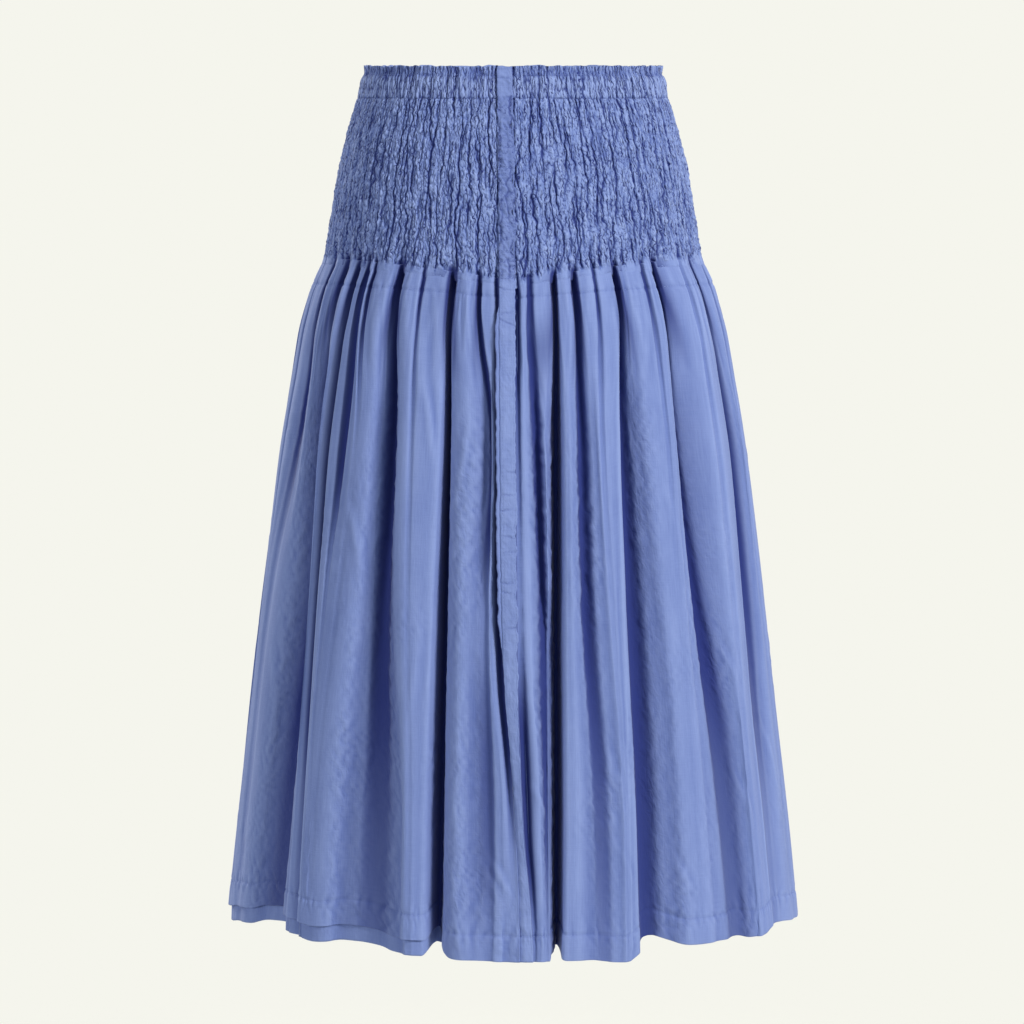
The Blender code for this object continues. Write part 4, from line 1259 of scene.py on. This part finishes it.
def placket_band():
    """The band over the opening. A thin second edge shows beside it from the yoke down to half way."""
    hem = float(ring_height(0.0, 0.0, 1.0))
    top = waist_height(TOP_EDGE, 0.0) - 0.6 * MM
    lower = np.linspace(BAND_FINE_TO, hem, BAND_LOWER_ROWS)
    height = np.concatenate([np.arange(top, BAND_FINE_TO, -BAND_ROW), lower])
    across = np.concatenate([[step.across for step in LIP], np.linspace(0.0, 1.0, BAND_COLUMNS)])
    n = len(LIP)
    z = height[:, None]
    v = -z
    a = across[None] + 0 * z
    lip = ease(-0.19, -0.22, z) * (1 - ease(-0.47, -0.52, z))
    a[:, :n] = LIP_UNDER + (a[:, :n] - LIP_UNDER) * lip
    width = a * PLACKET_WIDTH
    joined = ease(-0.58, -0.66, z)
    over_yoke = ease(-0.182, -0.166, z) * (1 - 0.8 * ease(-0.016, -0.010, z))

    rounded = (0.6 + 0.9 * joined) * (1 - ease(0, 0.09 + 0.40 * joined, a)) + 0.5 * ease(0.93, 1.0, a)
    seams = 0.45 * (bump(a, BAND_SEAMS[0], 0.035) * (1 - joined) + bump(a, BAND_SEAMS[1], 0.035))
    smocked, creased_dark = smock_relief(0.7 * width, v, 79)
    near_edge = 1 - ease(0.05, 0.30, np.minimum(a, 1 - a))
    pinches = ease(-0.1, 0.7, noise(a / 0.5, v / 0.009, 69)) * near_edge
    pucker = (1.1 * over_yoke + 0.45) * puckered(width / 0.0060, v / 0.0060, 71)
    pucker = pucker + 0.5 * noise(width / 0.012, v / 0.012, 72) - over_yoke * 0.45 * smocked / MM
    bars = bars_across(a, z)
    stands = -rounded - seams - 0.6 * bars - pucker * ease(0, 0.1, a) * (1 - 0.6 * ease(0.85, 1, a))
    stands = stands + button_mark(a, z) + hem_relief(width, z - hem, 74) / MM - 1.8 * over_yoke * pinches
    behind = -stands * MM
    behind[:, :n] = MM * (1 - lip) + lip * np.array([step.behind for step in LIP]) * MM
    behind[:, : n + 1] += 0.8 * MM * joined

    wavy = a + band_waver(a, v, over_yoke, joined)
    outer = placket_line(z + 0 * a, wavy, behind)
    inner = placket_line(z + 0 * a, wavy, np.minimum(behind, 2.2 * MM)) - normals(outer) * CLOTH
    # Painted highlight on the band's raised parts and painted shade on its low parts, under its bars and where
    # it lies over the yoke.
    shade = np.clip(stands + 0.7, -1, 1) * 0.7 - 0.3 * bars - 0.5 * over_yoke
    shade[:, :n] = 0
    # Painted shade under the bars, in the creases and pinches over the yoke, and along the thin second edge.
    hollow_shade = 0.16 * bars * (a > 0) + over_yoke * (0.12 + 0.55 * creased_dark + 0.50 * pinches)
    hollow_shade = np.clip(hollow_shade, 0, 0.8)
    hollow_shade[:, :2] = 0.6 * lip
    looks = (shade, hollow_shade, 0.5 + 0.5 * over_yoke)
    made = shell("placket", outer, inner, (4, 1), (width, v), looks, "cotton", "placket_band")
    return made, stitches("placket_stitches", band_lines(outer, height))


def under_band():
    """The plain strip that the right front is sewn to, behind the band."""
    top = waist_height(TOP_EDGE, 0.0) - 0.5 * MM
    z = np.linspace(top, float(ring_height(0.0, 0.0, 1.0)) + 1.0 * MM, 160)[:, None]
    across = np.linspace(0.06, 1.0, 8)[None]
    ripple = 0.3 * MM * noise(across * 3, z / 0.01, 81)
    outer = placket_line(z + 0 * across, across + 0 * z, UNDER_BAND_BEHIND + ripple)
    inner = outer - normals(outer) * CLOTH
    uv = (across * PLACKET_WIDTH, -z)
    # The strip is painted half way to the dark navy of shade, as it lies behind the band.
    return shell("under_band", outer, inner, (2, 1), uv, (0.0, 0.5, 0.0), "cotton", "placket_under_band")


# The second layer under the left hem

LAYER_BEHIND = 1.6 * MM
LAYER_TUCK = 0.14
LAYER_ABOVE = 0.89
LAYER_SHORT = 1.0 * MM
LAYER_ROWS = 16
LAYER_STRIP = 0.025
LAYER_RIPPLES = (Ripple(0.25 * MM, 0.014, 0.03, 91), Ripple(0.1 * MM, 0.005, 0.01, 92))


def second_layer():
    """The edge of the layer that shows under the raised hem. It lies behind the cloth, in the same folds."""
    shares = np.array([LAYER_ABOVE, 1.0])
    back, left = (spline(controls(shares), FRONT_COLUMN) for controls in (back_controls, left_controls))
    above, hem = np.concatenate([back[:, :-1], left], axis=1)[..., :3]
    angle = angle_of(hem)
    shown = (angle > LIFT_FROM[0]) & (angle < LIFT_TO[1])
    above, hem, angle = above[shown], hem[shown], angle[shown]
    top = hem + (above - hem) * LAYER_TUCK
    bottom = np.array(hem)
    bottom[:, 2] -= hem_lift(angle) - LAYER_SHORT
    share = np.linspace(0, 1, LAYER_ROWS)[:, None, None]
    middle = top * (1 - share) + bottom * share
    middle = middle - normals(middle) * LAYER_BEHIND
    u, v = along_row(hem)[None], share[..., 0] * LAYER_STRIP
    outer = middle + normals(middle) * rippled(LAYER_RIPPLES, u, v, 0)[..., None]
    outer[-1, :, 2] += 0.2 * MM * uneven(u[0] / 0.030, 93)
    inner = outer - normals(outer) * CLOTH
    # Painted highlight on the layer's edges and painted shade in its creases.
    looks = (np.clip(crease_shade_edge_highlight(outer) / (0.9 * MM), -1, 1), 0.0, 0.4)
    names = ("under_cotton", "second_layer_left", "under_cotton")
    return shell("second_layer", outer, inner, (3, 2), (u, v), looks, *names)


# Materials

# The cloth's unevenness: how wide and how long its spots are in metres, and their place in the pattern.
SPOTS = {
    "upright": (0.0008, 0.020, 3.0),
    "level": (0.016, 0.0009, 7.0),
    "mottle": (0.030, 0.080, 11.0),
    "streaks": (0.0045, 0.090, 13.0),
    "folds": (0.0060, 0.030, 17.0),
    "crumbs": (0.0028, 0.0075, 19.0),
}
TONES = {"upright": 0.50, "level": 0.25, "mottle": 0.50, "streaks": 0.18}
# The darkest and palest tints of the cloth's colour: its mottling runs between them, and so do its painted
# shade and painted highlight.
DEEP = (0.66, 0.70, 0.80)
PALE = (1.36, 1.29, 1.13)
WEAVE_PITCH = 0.62 * MM
WRINKLE_SLANT = 0.35
WRINKLE_DEPTH = 1.1
CRINKLE_REACH = 0.36
# How far the painted shade of a crack reaches from it, as a share of the pitch.
CRACK_REACH = 0.19
CRACK_WANDER = 1.8
LEVEL_CRACKS = 0.6
CRACK_DEPTH = 0.8
CRACK_DRIFT = ((0.0055, 0.0060), (0.0040, 0.0060))
FINISH = {
    "Specular IOR Level": 0.35,
    "Sheen Weight": 0.15,
    "Sheen Roughness": 0.45,
    "Sheen Tint": (0.90, 0.93, 1.0, 1.0),
}


def node(tree, kind, values=None, **settings):
    """A shader node. Its values are numbers, colours or the outputs that feed its inputs."""
    made = tree.nodes.new(kind)
    for key, value in settings.items():
        setattr(made, key, value)
    for socket, value in (values or {}).items():
        if isinstance(value, bpy.types.NodeSocket):
            tree.links.new(value, made.inputs[socket])
        else:
            made.inputs[socket].default_value = value
    return made


def math_of(tree, operation, *values):
    return node(tree, "ShaderNodeMath", dict(enumerate(values)), operation=operation).outputs[0]


def mixed(tree, share, first, second, **settings):
    values = {0: share, 6: first, 7: second}
    return node(tree, "ShaderNodeMix", values, data_type="RGBA", **settings).outputs[2]


def attribute(tree, name):
    return node(tree, "ShaderNodeAttribute", attribute_name=name).outputs["Fac"]


def cloth_noise(tree, cloth, across, down, place, detail=2.0, distortion=0.0):
    """Noise on the cloth with spots of that width and length in metres."""
    scale = (1 / across, 1 / down, 1.0)
    moved = {"Vector": cloth, "Scale": scale, "Location": (place, 1.7 * place, 0.0)}
    values = {
        "Vector": node(tree, "ShaderNodeMapping", moved).outputs[0],
        "Scale": 1.0,
        "Detail": detail,
        "Roughness": 0.55,
        "Distortion": distortion,
    }
    return node(tree, "ShaderNodeTexNoise", values, noise_dimensions="2D").outputs[0]


def weighted(tree, parts, start=0.0):
    """The sum of a start value and each output times its weight."""
    total = start
    for output, weight in parts:
        total = math_of(tree, "MULTIPLY_ADD", output, weight, total)
    return total


def threads(tree, cloth, pitch):
    """The over and under of a plain weave."""
    split = node(tree, "ShaderNodeSeparateXYZ", {0: cloth})
    turns = [math_of(tree, "MULTIPLY", split.outputs[axis], 2 * math.pi / pitch) for axis in (0, 1)]
    return math_of(tree, "MULTIPLY", *(math_of(tree, "SINE", turn) for turn in turns))


def smooth_step(tree, value, start, end, low=0.0, high=1.0):
    values = {0: value, 1: start, 2: end, 3: low, 4: high}
    return node(tree, "ShaderNodeMapRange", values, interpolation_type="SMOOTHSTEP").outputs[0]


def wandering_cracks(tree, cloth, axis, pitch, length, place):
    """Fine cracks a pitch apart that wander and come and go: how far from a crack, and how strong it is."""
    reach = (0.9 * pitch, length) if axis == 0 else (length, 0.9 * pitch)
    drift = cloth_noise(tree, cloth, *CRACK_DRIFT[axis], place, 1.0)
    along = node(tree, "ShaderNodeSeparateXYZ", {0: cloth}).outputs[axis]
    phase = weighted(tree, ((along, 1 / pitch), (drift, CRACK_WANDER)))
    away = math_of(tree, "ABSOLUTE", math_of(tree, "SUBTRACT", math_of(tree, "FRACT", phase), 0.5))
    return away, smooth_step(tree, cloth_noise(tree, cloth, *reach, place + 5.0, 1.0), 0.40, 0.58)


def cracks_of(tree, cloth, size, crumpled):
    """Fine crinkles: their height, and the painted shade in the cracks between them. Both grow with the
    crumpling.
    """
    raised, dark = 1.0, 0.0
    lengths = (2.0 * size[1], size[0])
    for axis, share in enumerate((1.0, LEVEL_CRACKS)):
        away, strength = wandering_cracks(tree, cloth, axis, size[axis], lengths[axis], 29.0 + 11 * axis)
        dip = smooth_step(tree, away, 0.0, CRINKLE_REACH, share, 0.0)
        line = smooth_step(tree, away, 0.02, CRACK_REACH * size[0] / size[axis], share, 0.0)
        raised = math_of(tree, "SUBTRACT", raised, math_of(tree, "MULTIPLY", dip, strength))
        dark = math_of(tree, "MAXIMUM", dark, math_of(tree, "MULTIPLY", line, strength))
    return [math_of(tree, "MULTIPLY", output, crumpled) for output in (raised, dark)]


def tinted(colour, tint):
    return (*(part * share for part, share in zip(colour, tint)), 1.0)


def new_material(name):
    """A material, its tree of nodes and its surface shader."""
    made = bpy.data.materials.new(name)
    made.use_nodes = True
    return made, made.node_tree, made.node_tree.nodes["Principled BSDF"]


def cotton(name, colour, crinkle, contrast, size=None):
    """Washed cotton: slubby threads, mottling and soft crinkles, with a painted highlight on its edges and
    painted shade in its creases.

    Cloth with a size has fine cracks so far apart and so long, and other cloth has slanted wrinkles.
    """
    made, tree, shader = new_material(name)
    cloth = node(tree, "ShaderNodeUVMap", uv_map="cloth").outputs[0]
    spots = {kind: cloth_noise(tree, cloth, *place) for kind, place in SPOTS.items()}
    shade, hollow_shade, crumpled = (attribute(tree, kind) for kind in ("shade", "hollow_shade", "crumple"))
    # The tone mixes the cloth's own mottling with painted highlight and painted shade from the shade look.
    tones = [(spots[kind], weight) for kind, weight in TONES.items()] + [(shade, contrast)]
    tone = weighted(tree, tones, 0.5 - sum(TONES.values()) / 2)
    relief = [
        (spots["upright"], 0.10),
        (spots["level"], 0.09),
        (threads(tree, cloth, WEAVE_PITCH), 0.018),
        (spots["folds"], 0.5 * crinkle),
        (spots["crumbs"], 0.45 * crinkle),
    ]
    if size:
        raised, cracked = cracks_of(tree, cloth, size, crumpled)
        relief.append((raised, CRACK_DEPTH))
        # The cracks add painted shade.
        hollow_shade = math_of(tree, "MAXIMUM", hollow_shade, cracked)
    else:
        turned = {"Vector": cloth, "Rotation": (0.0, 0.0, WRINKLE_SLANT)}
        slanted = node(tree, "ShaderNodeMapping", turned).outputs[0]
        wrinkles = cloth_noise(tree, slanted, 0.0045, 0.0085, 23.0, 3.0, 0.4)
        relief.append((math_of(tree, "MULTIPLY", wrinkles, crumpled), WRINKLE_DEPTH))
    surface = mixed(tree, tone, tinted(colour, DEEP), tinted(colour, PALE), clamp_factor=True)
    raised = node(tree, "ShaderNodeBump", {"Strength": 1.0, "Distance": MM, "Height": weighted(tree, relief)})
    rough = node(tree, "ShaderNodeMapRange", {0: spots["upright"], 1: 0.2, 2: 0.8, 3: 0.78, 4: 0.96})
    # Painted shade: the colour goes towards the dark navy by the hollow look and the cracks.
    tree.links.new(mixed(tree, hollow_shade, surface, (*PAINTED_SHADE, 1.0)), shader.inputs["Base Color"])
    tree.links.new(raised.outputs[0], shader.inputs["Normal"])
    tree.links.new(rough.outputs[0], shader.inputs["Roughness"])
    for socket, value in FINISH.items():
        shader.inputs[socket].default_value = value
    return made


def sewing_thread(name):
    """Thread, with a twist that shows as fine pale bands."""
    made, tree, shader = new_material(name)
    place = node(tree, "ShaderNodeTexCoord").outputs["Object"]
    twist = node(tree, "ShaderNodeTexNoise", {"Vector": place, "Scale": 1800.0, "Detail": 1.0}).outputs[0]
    colour = mixed(tree, twist, tinted(THREAD, (0.75,) * 3), tinted(THREAD, (1.15,) * 3))
    tree.links.new(colour, shader.inputs["Base Color"])
    shader.inputs["Roughness"].default_value = 0.7
    return made


# The stage

FLOOR_HEIGHT = -1.02
FLOOR_RADIUS = 3.0
FLOOR_SIDES = 64
FLOOR_FADE = (0.25, 1.0)

# Each lamp's place, its size and its power.
LIGHTS = {
    "key": ((2.7, -2.4, 0.9), 1.1, 140.0),
    "fill": ((-2.9, -2.2, 0.4), 1.8, 54.0),
    "top": ((0.2, -0.8, 2.2), 1.4, 14.0),
    "behind_left": ((-2.4, 3.0, 0.9), 1.4, 95.0),
    "behind_right": ((2.9, 2.3, 0.4), 1.8, 40.0),
}
LIGHT_AIM = (0.0, 0.0, -0.38)
LIGHT_COLOUR = (1.0, 0.975, 0.91)
AMBIENT = 0.23
AMBIENT_COLOUR = (0.76, 0.86, 1.0, 1.0)
SENSOR = 36.0
FOCAL = 4343 / 1024
CAMERA_PLACE = (-0.0009, -4.0, -0.105)
CAMERA_PITCH = math.radians(4.11)


def area_light(name, place, size, power):
    light = bpy.data.lights.new(name, "AREA")
    light.shape = "DISK"
    light.size = size
    light.energy = power
    light.color = LIGHT_COLOUR
    made = linked(name, light)
    made.location = place
    x, y, z = np.array(LIGHT_AIM) - np.array(place)
    made.rotation_euler = (math.atan2(math.hypot(x, y), -z), 0.0, math.atan2(-x, y))


def make_world():
    """An even pale surround, dimmer as light on the cloth than as seen."""
    world = bpy.data.worlds.new("studio")
    bpy.context.scene.world = world
    world.use_nodes = True
    tree = world.node_tree
    tree.nodes.clear()
    seen = node(tree, "ShaderNodeBackground", {"Color": (*BACKGROUND, 1.0), "Strength": 1.0})
    lit = node(tree, "ShaderNodeBackground", {"Color": AMBIENT_COLOUR, "Strength": AMBIENT})
    by_eye = node(tree, "ShaderNodeLightPath").outputs["Is Camera Ray"]
    both = node(tree, "ShaderNodeMixShader", {0: by_eye, 1: lit.outputs[0], 2: seen.outputs[0]})
    node(tree, "ShaderNodeOutputWorld", {"Surface": both.outputs[0]})


def make_floor():
    """A pale floor that fades into the surround."""
    mesh = bpy.data.meshes.new("floor")
    around = np.linspace(0, 2 * math.pi, FLOOR_SIDES, endpoint=False)
    x, y = FLOOR_RADIUS * np.cos(around), FLOOR_RADIUS * np.sin(around)
    mesh.from_pydata(np.stack([x, y, 0 * around + FLOOR_HEIGHT], axis=-1), [], [list(range(FLOOR_SIDES))])
    made, tree, _ = new_material("pale_floor")
    tree.nodes.clear()
    place = node(tree, "ShaderNodeTexCoord").outputs["Object"]
    away = node(tree, "ShaderNodeVectorMath", {0: place, 1: (1.0, 1.0, 0.0)}, operation="MULTIPLY")
    length = node(tree, "ShaderNodeVectorMath", {0: away.outputs[0]}, operation="LENGTH").outputs["Value"]
    clear = smooth_step(tree, length, *FLOOR_FADE)
    matt = node(tree, "ShaderNodeBsdfDiffuse", {"Color": (*BACKGROUND, 1.0)})
    open_air = node(tree, "ShaderNodeBsdfTransparent")
    both = node(tree, "ShaderNodeMixShader", {0: clear, 1: matt.outputs[0], 2: open_air.outputs[0]})
    node(tree, "ShaderNodeOutputMaterial", {"Surface": both.outputs[0]})
    mesh.materials.append(made)
    floor = linked("floor", mesh)


def make_camera():
    data = bpy.data.cameras.new("camera")
    data.sensor_width = SENSOR
    data.lens = SENSOR * FOCAL
    camera = linked("camera", data)
    camera.location = CAMERA_PLACE
    camera.rotation_euler = (math.radians(90) - CAMERA_PITCH, 0.0, 0.0)
    bpy.context.scene.camera = camera


materials = {
    "cotton": cotton("washed_cotton", COTTON, 0.30, 0.32),
    "smocked": cotton("smocked_cotton", SMOCKED_PAINTED_LIGHTER, 0.16, 0.56, (3.3 * MM, 7.0 * MM)),
    "gathered": cotton("gathered_cotton", SMOCKED_PAINTED_LIGHTER, 0.16, 0.56, (3.3 * MM, 24.0 * MM)),
    "under_cotton": cotton("under_cotton", SHADED_UNDER_COTTON, 0.30, 0.32),
    "thread": sewing_thread("blue_thread"),
}


def main():
    make_camera()
    make_world()
    make_floor()
    for name, light in LIGHTS.items():
        area_light(name, *light)
    bpy.context.scene.view_settings.view_transform = "Standard"

    left, left_thread, left_rows = lower_panel("skirt_left", "left", "skirt_front_left")
    right, right_thread, right_rows = lower_panel("skirt_right", "right", "skirt_front_right")
    back, back_thread, back_rows = lower_panel("skirt_rear", "back", "skirt_back")
    yoke_left = yoke_panel("yoke_left", "left", left_rows, "smocked_yoke_front_left")
    yoke_right = yoke_panel("yoke_right", "right", right_rows, "smocked_yoke_front_right")
    yoke_back = yoke_panel("yoke_rear", "back", back_rows, "smocked_yoke_back")
    casing_left, casing_left_thread = casing_panel("casing_left", "left", "waist_casing_front_left")
    casing_right, casing_right_thread = casing_panel("casing_right", "right", "waist_casing_front_right")
    casing_back, casing_back_thread = casing_panel("casing_rear", "back", "waist_casing_back")
    placket, placket_thread = placket_band()
    strip = under_band()
    layer = second_layer()


main()
